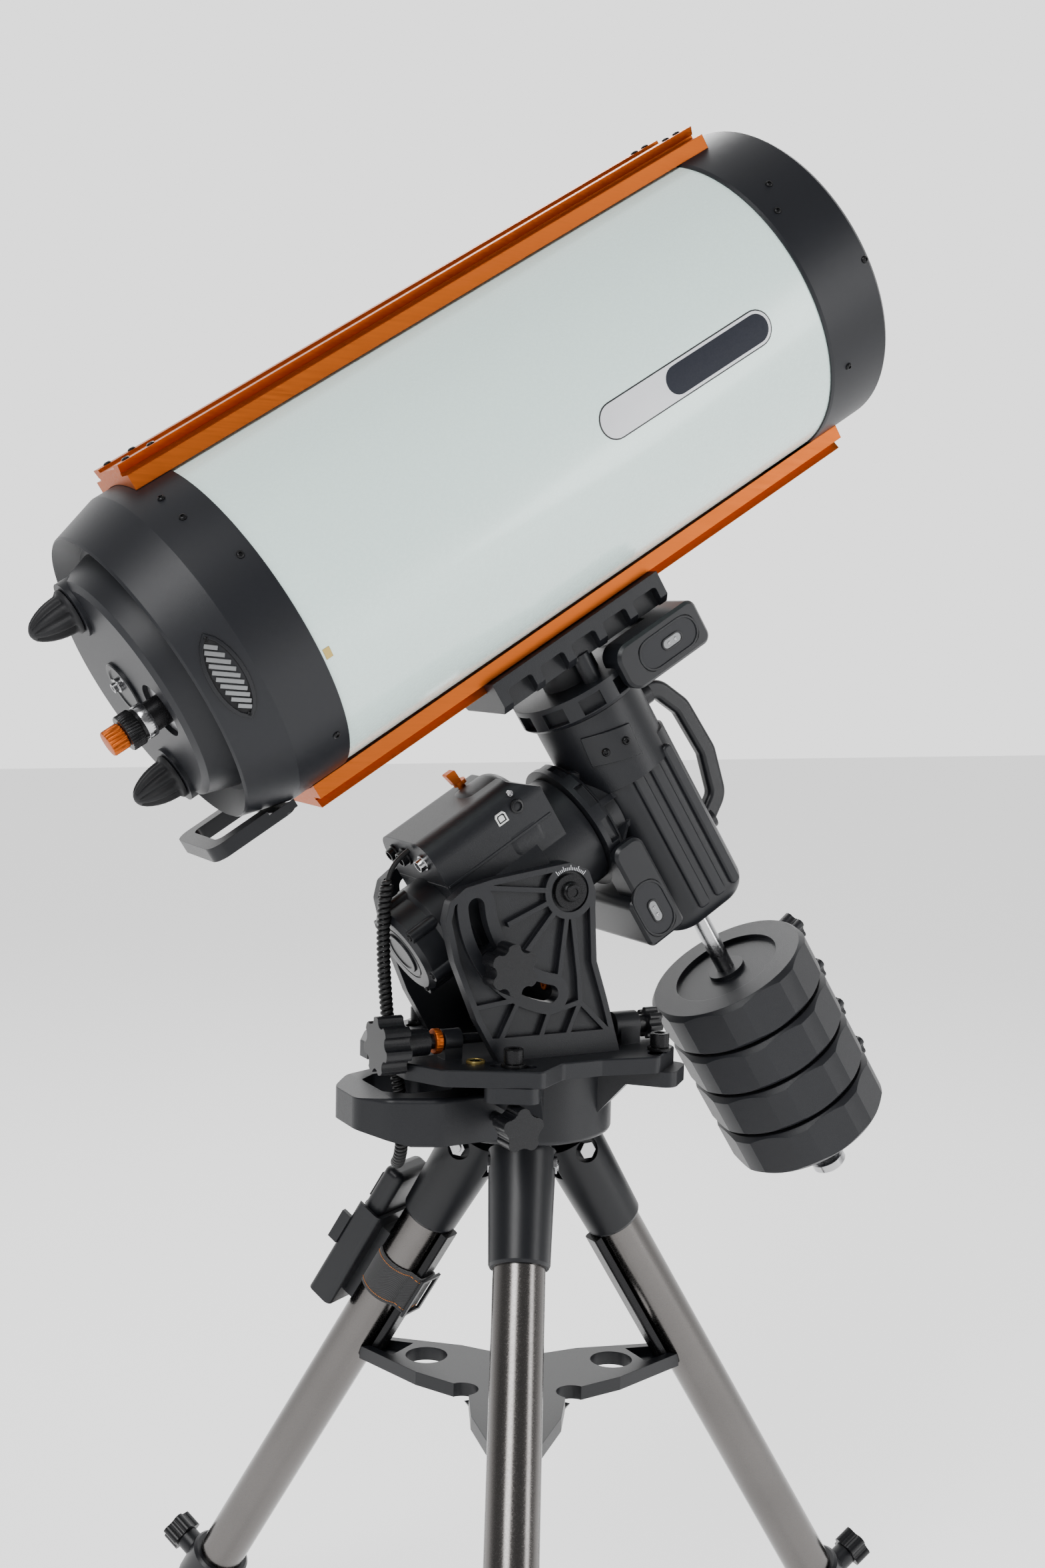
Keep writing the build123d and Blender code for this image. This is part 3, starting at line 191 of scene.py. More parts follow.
def gloss_enamel():
    """Baked enamel with a trace of orange peel."""
    color = (0.70, 0.87, 0.83)
    material, nodes, links, body = shader("tube_enamel", color, 0.26)
    slow = noise(nodes, links, 3.0)
    peel = noise(nodes, links, 260.0, 1.0)
    light = tuple(min(1, c * 1.03) for c in color)
    links.new(tint(nodes, links, slow, tuple(c * 0.985 for c in color), light), body.inputs["Base Color"])
    links.new(ramp(nodes, links, peel, 0.24, 0.30), body.inputs["Roughness"])
    bump(nodes, links, body, peel, 0.03, 0.0002)
    body.inputs["Coat Weight"].default_value = 0.5
    body.inputs["Coat Roughness"].default_value = 0.12
    return material


def clear_glass():
    material, nodes, links, body = shader("coated_glass", (0.86, 0.95, 0.92), 0.02)
    body.inputs["Transmission Weight"].default_value = 1.0
    body.inputs["IOR"].default_value = 1.5
    body.inputs["Thin Film Thickness"].default_value = 420.0
    smear = noise(nodes, links, 14.0)
    links.new(ramp(nodes, links, smear, 0.01, 0.035), body.inputs["Roughness"])
    return material


def webbing(name, color):
    """A tight plain weave."""
    material, nodes, links, body = shader(name, color, 0.85)
    place = nodes.new("ShaderNodeTexCoord")
    weave = nodes.new("ShaderNodeTexWave")
    weave.bands_direction = "DIAGONAL"
    weave.inputs["Scale"].default_value = 420.0
    weave.inputs["Distortion"].default_value = 0.6
    links.new(place.outputs["Object"], weave.inputs["Vector"])
    fuzz = noise(nodes, links, 1500.0, 1.0)
    light = tuple(c * 1.9 for c in color)
    links.new(tint(nodes, links, weave.outputs["Fac"], color, light), body.inputs["Base Color"])
    links.new(ramp(nodes, links, fuzz, 0.78, 0.95), body.inputs["Roughness"])
    bump(nodes, links, body, weave.outputs["Fac"], 0.5, 0.0004)
    body.inputs["Sheen Weight"].default_value = 0.3
    return material


BLACK = (0.0070, 0.0076, 0.0098)
ALONG_TUBE = ((0, LATITUDE, 0), (0.35, 9.0, 9.0))

M = {
    "cast": grained("cast_black", BLACK, 0.38, 1300.0, 0.30, 0.0004),
    "cell": grained("cell_black", (0.0076, 0.0083, 0.0110), 0.42, 2400.0, 0.22),
    "plastic": grained("black_plastic", (0.0064, 0.0069, 0.0088), 0.34, 1700.0, 0.22),
    "knob": grained("knob_plastic", (0.0048, 0.0050, 0.0062), 0.30, 1900.0, 0.16),
    "iron": grained("weight_powder_coat", (0.0074, 0.0080, 0.0105), 0.42, 1200.0, 0.34, 0.0005),
    "rubber": grained("black_rubber", (0.0060, 0.0062, 0.0075), 0.55, 1500.0, 0.20),
    "oxide": grained("black_oxide", (0.011, 0.011, 0.012), 0.28, 900.0, 0.12, metal=0.6),
    # Matte black: the real black lining inside the tube, and painted shade filling the vent's back and the
    # data port's hole.
    "soft": grained("black_lining_and_painted_shade", (0.006, 0.006, 0.007), 0.70, 900.0, 0.15),
    "white": grained("label_white", (0.62, 0.63, 0.66), 0.32, 700.0, 0.03),
    "navy": grained("label_dark", (0.004, 0.006, 0.014), 0.55, 700.0, 0.03),
    "grey": grained("grille_grey", (0.20, 0.205, 0.21), 0.42, 1500.0, 0.15, metal=0.6),
    "port": grained("port_white", (0.62, 0.63, 0.62), 0.40, 900.0, 0.05),
    "brass": grained("gold_tag", (0.42, 0.31, 0.10), 0.35, 900.0, 0.10, metal=0.9),
    "thread": grained("orange_thread", (0.70, 0.22, 0.03), 0.75, 3000.0, 0.40),
    "cord": grained("cord_sheath", (0.0065, 0.0065, 0.0070), 0.42, 1800.0, 0.14),
    "lcd": grained("display_window", (0.05, 0.012, 0.010), 0.12, 400.0, 0.01, coat=0.6),
    "enamel": gloss_enamel(),
    "orange": brushed("orange_anodised", (0.47, 0.098, 0.008), 0.42, *ALONG_TUBE, metal=0.85),
    "steel": grained("brushed_stainless", (0.125, 0.118, 0.114), 0.22, 700.0, 0.008, metal=1.0),
    "chrome": grained("polished_chrome", (0.40, 0.40, 0.41), 0.16, 500.0, 0.02, metal=1.0),
    "silver": grained("satin_silver", (0.34, 0.34, 0.35), 0.34, 900.0, 0.04, metal=0.9),
    "glass": clear_glass(),
    "mirror": grained("aluminised_glass", (0.88, 0.88, 0.90), 0.04, 300.0, 0.0, metal=1.0),
    "web": webbing("black_webbing", (0.012, 0.012, 0.013)),
}

NODE_MATERIALS = {
    "cast": [
        "tripod_hub", "azimuth_base", "side_plate_near", "side_plate_far", "ra_housing", "dec_housing",
        "saddle", "saddle_jaw",
    ],
    "cell": ["rear_cell", "front_ring"],
    "plastic": [
        "leg_sleeves", "leg_clamps", "accessory_tray", "ra_end_cap", "ra_motor_cover", "dec_motor_cover",
        "carry_handle", "cell_handle", "lens_group", "handset_holder", "hand_control",
    ],
    "knob": [
        "tray_knob", "leg_clamp_knob_north", "leg_clamp_knob_left", "leg_clamp_knob_front", "hub_knob",
        "azimuth_knob_south", "azimuth_knob_north", "altitude_knob_near", "altitude_knob_far",
        "saddle_knob_south", "saddle_knob_north",
    ],
    "iron": ["counterweight_1", "counterweight_2", "counterweight_3", "counterweight_4"],
    "rubber": ["mirror_lock_upper", "mirror_lock_lower"],
    "oxide": ["azimuth_bolts", "altitude_pivots", "tray_struts", "focuser_base", "coarse_focus_knob"],
    "orange": ["ra_clutch_lever", "fine_focus_knob", "dovetail_top", "dovetail_bottom"],
    "enamel": ["ota_tube"],
    "steel": ["upper_legs", "lower_leg_north", "lower_leg_left", "lower_leg_front", "ra_shaft"],
    "chrome": ["leg_pivot_bolts", "counterweight_shaft", "toe_saver"],
    "glass": ["corrector_plate"],
    "mirror": ["primary_mirror"],
    "web": ["handset_strap"],
    "cord": ["handset_cord"],
}


def dress(name, *keys):
    """Gives a CAD node its materials."""
    data = NODES[name].data
    data.materials.clear()
    for key in keys:
        data.materials.append(M[key])


for key, names in NODE_MATERIALS.items():
    for node_name in names:
        dress(node_name, key)


def inside_dark(name, place, radius, key="soft"):
    """A second material on a node's faces that lie inside a cylinder about a frame's x axis."""
    data = NODES[name].data
    data.materials.append(M[key])
    back = place.inverted()
    for face in data.polygons:
        p = back @ face.center
        if math.hypot(p.y, p.z) < radius:
            face.material_index = len(data.materials) - 1


inside_dark("ota_tube", TUBE, 157.0)
for leg, leg_angle in LEG_ANGLES.items():
    back = leg_frame(leg_angle).inverted()
    dress(f"lower_leg_{leg}", "steel", "rubber")
    for face in NODES[f"lower_leg_{leg}"].data.polygons:
        if (back @ face.center).z > BOOT_START:
            face.material_index = 1


# ---------------------------------------------------------------- mesh helpers
def piece(name, bm, place, body, material, bevel=0.0, segments=2, sharp=35):
    """A finished piece: placed, softened, smooth and riding on a body."""
    bmesh.ops.remove_doubles(bm, verts=bm.verts, dist=1e-5)
    bmesh.ops.recalc_face_normals(bm, faces=bm.faces)
    data = bpy.data.meshes.new(name)
    bm.to_mesh(data)
    bm.free()
    data.transform(place)
    if place.determinant() < 0:
        data.flip_normals()
    data.materials.append(M[material])
    data.polygons.foreach_set("use_smooth", [True] * len(data.polygons))
    data.set_sharp_from_angle(angle=math.radians(sharp))
    thing = bpy.data.objects.new(name, data)
    bpy.context.scene.collection.objects.link(thing)
    if bevel:
        edge = thing.modifiers.new("bevel", "BEVEL")
        edge.width = bevel * MM
        edge.segments = segments
        edge.limit_method = "ANGLE"
        edge.angle_limit = math.radians(38)
        edge.harden_normals = True
    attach(thing, body)
    return thing


def lathe(profile, steps=48, flutes=0, depth=0.0, where=None):
    """Turns (z, r) points about z. Flutes press in between two heights, as on a knob's grip."""
    bm = bmesh.new()
    rings = []
    for z, r in profile:
        ring = []
        for k in range(steps):
            turn = 2 * math.pi * k / steps
            cut = 0.0
            if flutes and where[0] <= z <= where[1]:
                cut = depth * (0.5 + 0.5 * math.cos(flutes * turn)) ** 2
            ring.append(bm.verts.new(((r - cut) * math.cos(turn), (r - cut) * math.sin(turn), z)))
        rings.append(ring)
    for low, high in zip(rings, rings[1:]):
        for k in range(steps):
            bm.faces.new((low[k], low[(k + 1) % steps], high[(k + 1) % steps], high[k]))
    for ring, (z, r) in ((rings[0], profile[0]), (rings[-1], profile[-1])):
        if r > 1e-4:
            bm.faces.new(ring)
    return bm


def prism(outline, low, high):
    """An outline in x, y between two heights."""
    bm = bmesh.new()
    under = [bm.verts.new((x, y, low)) for x, y in outline]
    over = [bm.verts.new((x, y, high)) for x, y in outline]
    bm.faces.new(under)
    bm.faces.new(over)
    count = len(outline)
    for k in range(count):
        bm.faces.new((under[k], under[(k + 1) % count], over[(k + 1) % count], over[k]))
    return bm


def pill(length, width, steps=10):
    """A pill's outline, centred, along x."""
    r, reach = width / 2, (length - width) / 2
    turns = [-math.pi / 2 + math.pi * k / steps for k in range(steps + 1)]
    right = [(reach + r * math.cos(t), r * math.sin(t)) for t in turns]
    return right + [(-x, -y) for x, y in right]


def frame_of(outer, inner, low, high):
    """A rim between two outlines with the same number of points."""
    bm = bmesh.new()
    rows = []
    for outline, z in ((outer, low), (outer, high), (inner, high), (inner, low)):
        rows.append([bm.verts.new((x, y, z)) for x, y in outline])
    count = len(outer)
    for a, b in zip(rows, rows[1:] + rows[:1]):
        for k in range(count):
            bm.faces.new((a[k], a[(k + 1) % count], b[(k + 1) % count], b[k]))
    return bm


def join(*parts):
    """Several bmeshes as one."""
    whole = parts[0]
    for part in parts[1:]:
        data = bpy.data.meshes.new("part")
        part.to_mesh(data)
        part.free()
        whole.from_mesh(data)
        bpy.data.meshes.remove(data)
    return whole


def moved(bm, place):
    bm.transform(place)
    return bm


def screw_mesh(radius, height, socket=0.45):
    """A button-head screw with a hexagon socket."""
    dome = [(0, radius), (height * 0.45, radius * 0.98), (height * 0.8, radius * 0.8)]
    dome.append((height, radius * socket * 1.25))
    bm = lathe(dome + [(height, radius * socket), (height * 0.35, radius * socket), (height * 0.35, 0.0)], 24)
    return bm


def screws(name, spots, radius, height, place, body, material="oxide"):
    """Several like screws as one piece. A spot is (position, direction)."""
    parts = [moved(screw_mesh(radius, height), Matrix.Translation(p) @ facing(d)) for p, d in spots]
    return piece(name, join(*parts), place, body, material)


# ---------------------------------------------------------------- telescope
def on_barrel(a, degrees, radius):
    """A point and its outward direction on the tube. 0 degrees faces the near side, 90 the top."""
    t = math.radians(degrees)
    out = Vector((0, -math.cos(t), math.sin(t)))
    return Vector((a, 0, 0)) + out * radius, out


def patch(outline, radius, rise, centre_degrees=0.0):
    """A flat outline (along the tube, round the tube) wrapped on the barrel."""
    bm = bmesh.new()
    bm.faces.new([bm.verts.new((x, y, 0)) for x, y in outline])
    bmesh.ops.triangulate(bm, faces=bm.faces[:])
    bmesh.ops.subdivide_edges(bm, edges=bm.edges[:], cuts=3, use_grid_fill=True)
    grown = bmesh.ops.extrude_face_region(bm, geom=bm.faces[:])
    for v in grown["geom"]:
        if isinstance(v, bmesh.types.BMVert):
            v.co.z += rise
    for v in bm.verts:
        point, out = on_barrel(v.co.x, centre_degrees + math.degrees(v.co.y / radius), radius)
        v.co = point + out * v.co.z
    return bm


def label():
    """The two-tone nameplate without its lettering."""
    middle = (72 + 282) / 2
    border = [(middle + x, y - 2) for x, y in pill(212.5, 35.5, 14)]
    piece("name_plate_border", patch(border, 158.25, 0.2), TUBE, "ota", "plastic")
    white = [(middle + x, y - 2) for x, y in pill(210, 33, 14)]
    piece("name_plate", patch(white, 158.4, 0.35), TUBE, "ota", "white")
    middle = (152 + 279) / 2
    dark = [(middle + x, y - 2) for x, y in pill(127, 27.5, 14)]
    piece("name_plate_dark", patch(dark, 158.7, 0.25), TUBE, "ota", "navy")
    tag = [(-261 + x, y - 2) for x, y in ((0, -5), (7, -5), (7, 5), (0, 5))]
    piece("maker_tag", patch(tag, 158.3, 0.2, -12), TUBE, "ota", "brass")


def tube_screws():
    front = [
        (369, 39), (354, 29), (359, -33), (408, -1), (369, 141), (354, 151), (359, 213), (408, 181),
        (369, 100), (359, -100),
    ]
    spots = [on_barrel(a, t, 161.0) for a, t in front]
    screws("front_ring_screws", spots, 3.6, 2.2, TUBE, "ota")
    rear = [
        (-293, 60), (-293, 48), (-277, 27), (-277, -42), (-293, 120), (-293, 132), (-277, 153), (-277, 222),
    ]
    spots = [on_barrel(a, t, 160.5) for a, t in rear]
    screws("rear_cell_screws", spots, 3.6, 2.2, TUBE, "ota")


GRILLE_A, GRILLE_D = -343.0, -6.0
CONE_R = 154.0
CONE_TILT = math.atan2(160.5 - 147.0, 46.0)


def grille():
    """The almond-shaped vent on the cell's tapered side, with slanted slats."""
    t = math.asin(GRILLE_D / CONE_R)
    flat = math.cos(CONE_TILT)
    out = Vector((-math.sin(CONE_TILT), -math.cos(t) * flat, math.sin(t) * flat))
    place = TUBE @ at(GRILLE_A, -CONE_R * math.cos(t) - 0.2, GRILLE_D) @ facing(out, (1, 0, 0))

    def almond(length, width, steps=12):
        found = []
        for side in (1, -1):
            for k in range(steps):
                u = -1 + 2 * k / steps
                found.append((side * u * length / 2, side * width / 2 * (1 - abs(u) ** 2.2) ** 0.75))
        return found

    def curved(bm, rise=0.0):
        for v in bm.verts:
            v.co.z += -v.co.x ** 2 / (2 * CONE_R) + rise
        return bm

    rim = frame_of(almond(84, 33), almond(75, 26), -2.5, 1.6)
    piece("vent_rim", curved(rim), place, "ota", "plastic", 0.5)
    # A dark sheet behind the slats: painted shade where the vent's hollow is.
    piece("vent_back_painted_shade", curved(prism(almond(76, 27), -2.0, 0.15)), place, "ota", "soft")
    slats = []
    for k in range(10):
        x = -29 + 6.4 * k
        room = 13.0 * max(0.0, 1 - abs(x / 37.5) ** 2.2) ** 0.75 - 1.2
        bar = prism([(-1.9, -room), (1.9, -room), (1.9, room), (-1.9, room)], -1.0, 0.9)
        slats.append(moved(bar, at(x) @ Matrix.Rotation(math.radians(-35), 4, "Z")))
    piece("vent_slats", curved(join(*slats), 0.3), place, "ota", "grey", 0.3)
    ends = [moved(screw_mesh(2.2, 1.4), at(x, 0, 0.6 - x * x / (2 * CONE_R))) for x in (-36.5, 36.5)]
    piece("vent_screws", join(*ends), place, "ota", "oxide")


FOCUS_Y, FOCUS_D = -63.0, -16.0
BACKWARD = facing((-1, 0, 0))


def focuser():
    """Fluted knobs, graduated silver band and round plate of the focuser."""
    axis = TUBE @ at(0, FOCUS_Y, FOCUS_D)
    plate = lathe([(378.5, 0.0), (378.5, 25.8), (381.2, 25.8), (381.6, 25.2), (381.6, 14.5)])
    piece("focuser_plate", plate, axis @ BACKWARD, "ota", "silver")
    band = lathe([(398, 14.2), (398, 15.6), (399, 16.0), (406, 16.0), (407, 15.6), (407, 15.1)])
    piece("focuser_band", band, axis @ BACKWARD, "ota", "chrome")
    half = math.pi / 2
    upright = Matrix.Rotation(half, 4, "Y") @ Matrix.Rotation(-half, 4, "Z")
    upright = upright @ Matrix.Rotation(math.pi, 4, "X")
    ticks = []
    for k in range(40):
        tall = 4.5 if k % 5 == 0 else 2.6
        tick = prism([(-0.18, 0), (0.18, 0), (0.18, tall), (-0.18, tall)], 0, 0.25)
        turn = Matrix.Rotation(2 * math.pi * k / 40, 4, "Z")
        ticks.append(moved(tick, turn @ at(16.0, 0, 399.5) @ upright))
    piece("focuser_ticks", join(*ticks), axis @ BACKWARD, "ota", "oxide")
    grip = [
        (410.4, 5), (410.4, 16.2), (411.4, 17.0), (417, 17.0), (422.8, 17.0), (423.8, 16.2), (423.8, 12.2),
    ]
    body = lathe(grip, 144, 36, 1.1, (411.2, 423))
    coarse = piece("coarse_grip", body, axis @ BACKWARD, "coarse_focus_knob", "oxide")
    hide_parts("coarse_focus_knob")
    grip = [
        (424.4, 4), (424.4, 11.2), (425.2, 12.0), (431, 12.0), (439, 12.0), (440.3, 11.2), (440.7, 9),
        (440.7, 0.0),
    ]
    body = lathe(grip, 120, 20, 1.3, (425, 440))
    fine = piece("fine_grip", body, axis @ BACKWARD, "fine_focus_knob", "orange")
    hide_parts("fine_focus_knob")


def mirror_locks():
    """Fluted bullet-shaped rubber knobs."""
    for name, d in (("mirror_lock_upper", 87.0), ("mirror_lock_lower", -87.0)):
        profile = [
            (390.4, 0.0), (390.4, 20.5), (391.2, 21.8), (393.5, 21.8), (395, 20.2), (396.5, 19.2),
            (400, 18.9), (406, 18.2), (412, 16.9), (418, 14.9), (423, 12.6), (427, 10.2), (430, 7.4),
            (432, 4.4), (432.9, 1.6), (433, 0.0),
        ]
        grip = lathe(profile, 96, 8, 3.0, (396, 428))
        place = TUBE @ at(0, 10, d) @ BACKWARD
        knob = piece(name + "_grip", grip, place, name, "rubber", sharp=50)
        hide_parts(name)


def back_fittings():
    """The cap in the middle of the cell's back, with its small connector and screws."""
    axis = TUBE @ at(0, 6, 4) @ BACKWARD
    cap = lathe([(385.5, 0.0), (385.5, 27), (388.5, 27), (389.5, 26), (389.5, 22), (388.3, 21), (388.3, 0.0)])
    piece("back_cap", cap, axis, "ota", "plastic")
    profile = [
        (388, 6.8), (392, 6.8), (392.4, 6.2), (392.4, 4.6), (396.5, 4.6), (396.5, 2.6), (390, 2.6),
        (390, 0.0),
    ]
    nut = lathe(profile, 24)
    piece("back_connector", nut, axis @ at(0, 6, 0), "ota", "chrome")
    spots = [((20 * math.cos(t), 20 * math.sin(t), 388.2), (0, 0, 1)) for t in (0.6, 2.7, 4.8)]
    screws("back_cap_screws", spots, 2.6, 1.6, axis, "ota", "chrome")


def optics():
    """The retaining rings and the front glass of the lens group."""
    ring = lathe([(402.2, 146.0), (402.2, 141.2), (404.6, 141.2), (405.4, 142.2), (405.4, 146.0)], 96)
    piece("window_ring", ring, TUBE @ facing((1, 0, 0)), "ota", "plastic")
    glass = [(406.2, 0.0), (406.2, 28.5), (407.0, 28.5), (408.6, 22), (409.6, 14), (410.1, 7), (410.2, 0.0)]
    piece("front_lens", lathe(glass, 64), TUBE @ facing((1, 0, 0)), "ota", "glass")
    grip = [(408.2, 44), (408.2, 52), (410.6, 52.4), (411.9, 51.4), (411.9, 44)]
    ring = lathe(grip, 120, 30, 0.8, (409, 411))
    piece("lens_ring", ring, TUBE @ facing((1, 0, 0)), "ota", "oxide")


def rail_bolts():
    """Socket bolts that hold the bars to the ring and the cell."""
    for name, sign in (("top", 1), ("bottom", -1)):
        spots = []
        for a in (-288, -262, 348, 362):
            for y in (-30, 30):
                spots.append((Vector((a, y, sign * 178.1)), (0, 0, sign)))
        screws(f"rail_bolts_{name}", spots, 4.0, 1.8, TUBE, "ota", "oxide")


# ---------------------------------------------------------------- mount
COVER_Y = -76.0            # the near face of both motor covers


def cover_window(name, p, d, turn, length, width, body):
    """The sunk pill-shaped panel of a motor cover, with its small bright window."""
    place = HEAD @ at(p, COVER_Y, d) @ facing((0, -1, 0), (1, 0, 0))
    place = place @ Matrix.Rotation(math.radians(turn), 4, "Z")
    rim = frame_of(pill(length, width), pill(length - 5, width - 5), -2.5, 0.9)
    piece(name + "_rim", rim, place, body, "plastic", 0.6)
    floor = prism(pill(length - 4, width - 4), -3.0, -0.3)
    piece(name + "_floor", floor, place, body, "cell")
    ring = frame_of(pill(26, 12.5), pill(22, 9), -1.0, 0.8)
    middle = place @ at(length * 0.06)
    piece(name + "_ring", ring, middle, body, "knob", 0.3)
    piece(name + "_bar", prism(pill(23, 9.6), -1.4, 0.1), middle, body, "grey", 0.2)
    spots = [(Vector((-4 + 8 * k, 0, 0.1)), (0, 0, 1)) for k in (0, 1)]
    screws(name + "_screws", spots, 2.0, 0.9, middle, body, "chrome")


def neck_cover():
    """The curved inspection plate on the declination neck."""
    bm = bmesh.new()
    corners = [(-40, 85), (6, 75), (3, 41), (-42, 53)]
    steps = 10
    rows = []
    for j in range(steps + 1):
        v = j / steps
        row = []
        for k in range(steps + 1):
            u = k / steps
            top = Vector(corners[0]).lerp(Vector(corners[1]), u)
            low = Vector(corners[3]).lerp(Vector(corners[2]), u)
            spot = low.lerp(top, v)
            t = math.asin(max(-0.95, min(0.95, spot.x / 57)))
            row.append(bm.verts.new((57.1 * math.sin(t), -57.1 * math.cos(t), spot.y)))
        rows.append(row)
    for a, b in zip(rows, rows[1:]):
        for k in range(steps):
            bm.faces.new((a[k], a[k + 1], b[k + 1], b[k]))
    grown = bmesh.ops.extrude_face_region(bm, geom=bm.faces[:])
    for v in grown["geom"]:
        if isinstance(v, bmesh.types.BMVert):
            v.co += Vector((v.co.x, v.co.y, 0)).normalized() * 2.4
    piece("neck_plate", bm, HEAD, "ra_axis", "plastic", 0.8)
    spots = []
    for p, d in ((-27, 62), (-6, 62)):
        t = math.asin(p / 57)
        out = Vector((math.sin(t), -math.cos(t), 0))
        spots.append((out * 59.4 + Vector((0, 0, d)), out))
    screws("neck_screws", spots, 4.2, 3.0, HEAD, "ra_axis")


def housing_ports():
    """The data and auxiliary ports on the near side, and the power connectors at the back."""
    near = HEAD @ at(-159, -57.0, 72) @ facing((0, -1, 0))
    square = [(-6, -5.5), (6, -5.5), (6, 3.5), (4, 6), (-4, 6), (-6, 3.5)]
    hole = [(-4.4, -4), (4.4, -4), (4.4, 2.8), (3, 4.4), (-3, 4.4), (-4.4, 2.8)]
    piece("data_port", frame_of(square, hole, -2, 0.9), near, "latitude_head", "port", 0.2)
    core = [(x * 0.5, y * 0.5) for x, y in square]
    piece("data_port_core", prism(core, -2, 0.4), near, "latitude_head", "port")
    # A dark filler in the port's hole: painted shade inside the socket.
    piece("data_port_painted_shade", prism(hole, -2, 0.1), near, "latitude_head", "soft")
    other = HEAD @ at(-139, -57.0, 73) @ facing((0, -1, 0))
    ring = lathe([(-2, 7), (1.4, 7), (1.8, 6.4), (1.8, 4.6), (-1.0, 4.4), (-1.0, 0.0)], 32)
    piece("aux_port", ring, other, "latitude_head", "knob")
    small = HEAD @ at(-139, -57.0, 88) @ facing((0, -1, 0))
    ring = lathe([(-2, 3), (1.0, 3), (1.2, 2.6), (-1.0, 2.0), (-1.0, 0.0)], 20)
    piece("aux_port_small", ring, small, "latitude_head", "chrome")
    sockets = (
        ("power_connector", -34, 74, 6.5, "chrome"), ("switch_ring", 6, 76, 7.5, "knob"),
        ("aux_socket", 30, 78, 6, "knob"),
    )
    for name, y, d, r, material in sockets:
        profile = [
            (-1, r + 2), (2, r + 2), (2.4, r + 1.5), (2.4, r), (8, r), (8.4, r - 0.5), (8.4, r - 1.6),
            (3, r - 1.8), (3, 0.0),
        ]
        thing = lathe(profile, 36, 18 if name == "power_connector" else 0, 0.5, (2.5, 8.1))
        piece(name, thing, HEAD @ at(-240, y, d) @ BACKWARD, "latitude_head", material)


def pod_seam():
    """The raised lip where the pod's lid meets its tray."""
    w, x0, x1 = 57.9, -240.8, -112.0
    outline = [(x1, -w), (x0 + 3, -w), (x0, -w + 3), (x0, w - 3), (x0 + 3, w), (x1, w)]
    inner = [(x1, -w + 3), (x0 + 5, -w + 3), (x0 + 3, -w + 5), (x0 + 3, w - 5), (x0 + 5, w - 3), (x1, w - 3)]
    piece("pod_seam", frame_of(outline, inner, 45.5, 48.5), HEAD, "latitude_head", "cast", 0.5)


def end_cap_details():
    place = HEAD @ facing((-1, 0, 0))
    spots = []
    for k in range(6):
        t = math.radians(30 + 60 * k)
        spots.append((Vector((-292, 45 * math.cos(t), 45 * math.sin(t))), (-1, 0, 0)))
    screws("end_cap_screws", spots, 3.4, 1.8, HEAD, "latitude_head")
    disc = lathe([(294.6, 0.0), (294.6, 22), (296.4, 22), (297, 21.4), (297, 17.5), (296, 17), (296, 0.0)])
    piece("end_cap_disc", disc, place, "latitude_head", "plastic")


def base_details():
    """Bubble level, orange collar on the azimuth screw and the latitude scale."""
    level = WORLD @ at(-94, -80, 783)
    ring = lathe([(0, 0.0), (0, 9), (2.2, 9), (2.8, 8.4), (2.8, 6.8), (1.6, 6.6), (1.6, 0.0)], 40)
    piece("level_ring", ring, level, "mount_base", "brass")
    vial = lathe([(1.7, 0.0), (1.7, 6.4), (2.5, 5.6), (2.9, 3), (3.0, 0.0)], 32)
    piece("level_vial", vial, level, "mount_base", "glass")
    screw = WORLD @ at(0, AZIMUTH_SCREW[0], AZIMUTH_SCREW[1]) @ facing((-1, 0, 0))
    profile = [(118.4, 8.1), (118.4, 11.4), (119.2, 12.2), (124.6, 12.2), (125.4, 11.4), (125.4, 8.1)]
    collar = lathe(profile, 72, 24, 0.8, (119, 125))
    piece("azimuth_collar", collar, screw, "mount_base", "orange")
    nut = lathe([(-22.5, 0.0), (-22.5, 7), (-17, 7), (-16, 6), (-16, 3), (-18, 2.6), (-18, 0.0)], 6)
    place = WORLD @ at(0, -5, 838) @ BACKWARD
    piece("web_nut", nut, place, "mount_base", "orange", 0.6)
    ticks = []
    for k in range(17):
        tall = 5.0 if k % 4 == 0 else 3.0
        t = math.radians(50 + 5 * k)
        tick = prism([(-0.35, 0), (0.35, 0), (0.35, tall), (-0.35, tall)], 0, 0.25)
        ticks.append(moved(tick, Matrix.Rotation(t - math.pi / 2, 4, "Z") @ at(0, 20.5, 0)))
    for name, side in (("near", -1), ("far", 1)):
        plate = WORLD @ at(0, side * 87.0, 943) @ facing((0, side, 0))
        copy = [t.copy() for t in ticks]
        piece(f"latitude_scale_{name}", join(*copy), plate, "mount_base", "white")


def bolt_sockets():
    """Dark washers' marks and domed centres on the altitude pivots."""
    for name, side in (("near", -1), ("far", 1)):
        place = WORLD @ at(0, side * 93.6, 943) @ facing((0, side, 0))
        ring = lathe([(0, 7.5), (1.2, 7.5), (1.6, 7.0), (1.6, 4.2), (0.2, 4.0), (0.2, 0.0)], 36)
        piece(f"pivot_socket_{name}", ring, place, "latitude_head", "oxide")


# ---------------------------------------------------------------- hand control
LEFT = leg_frame(LEG_ANGLES["left"])


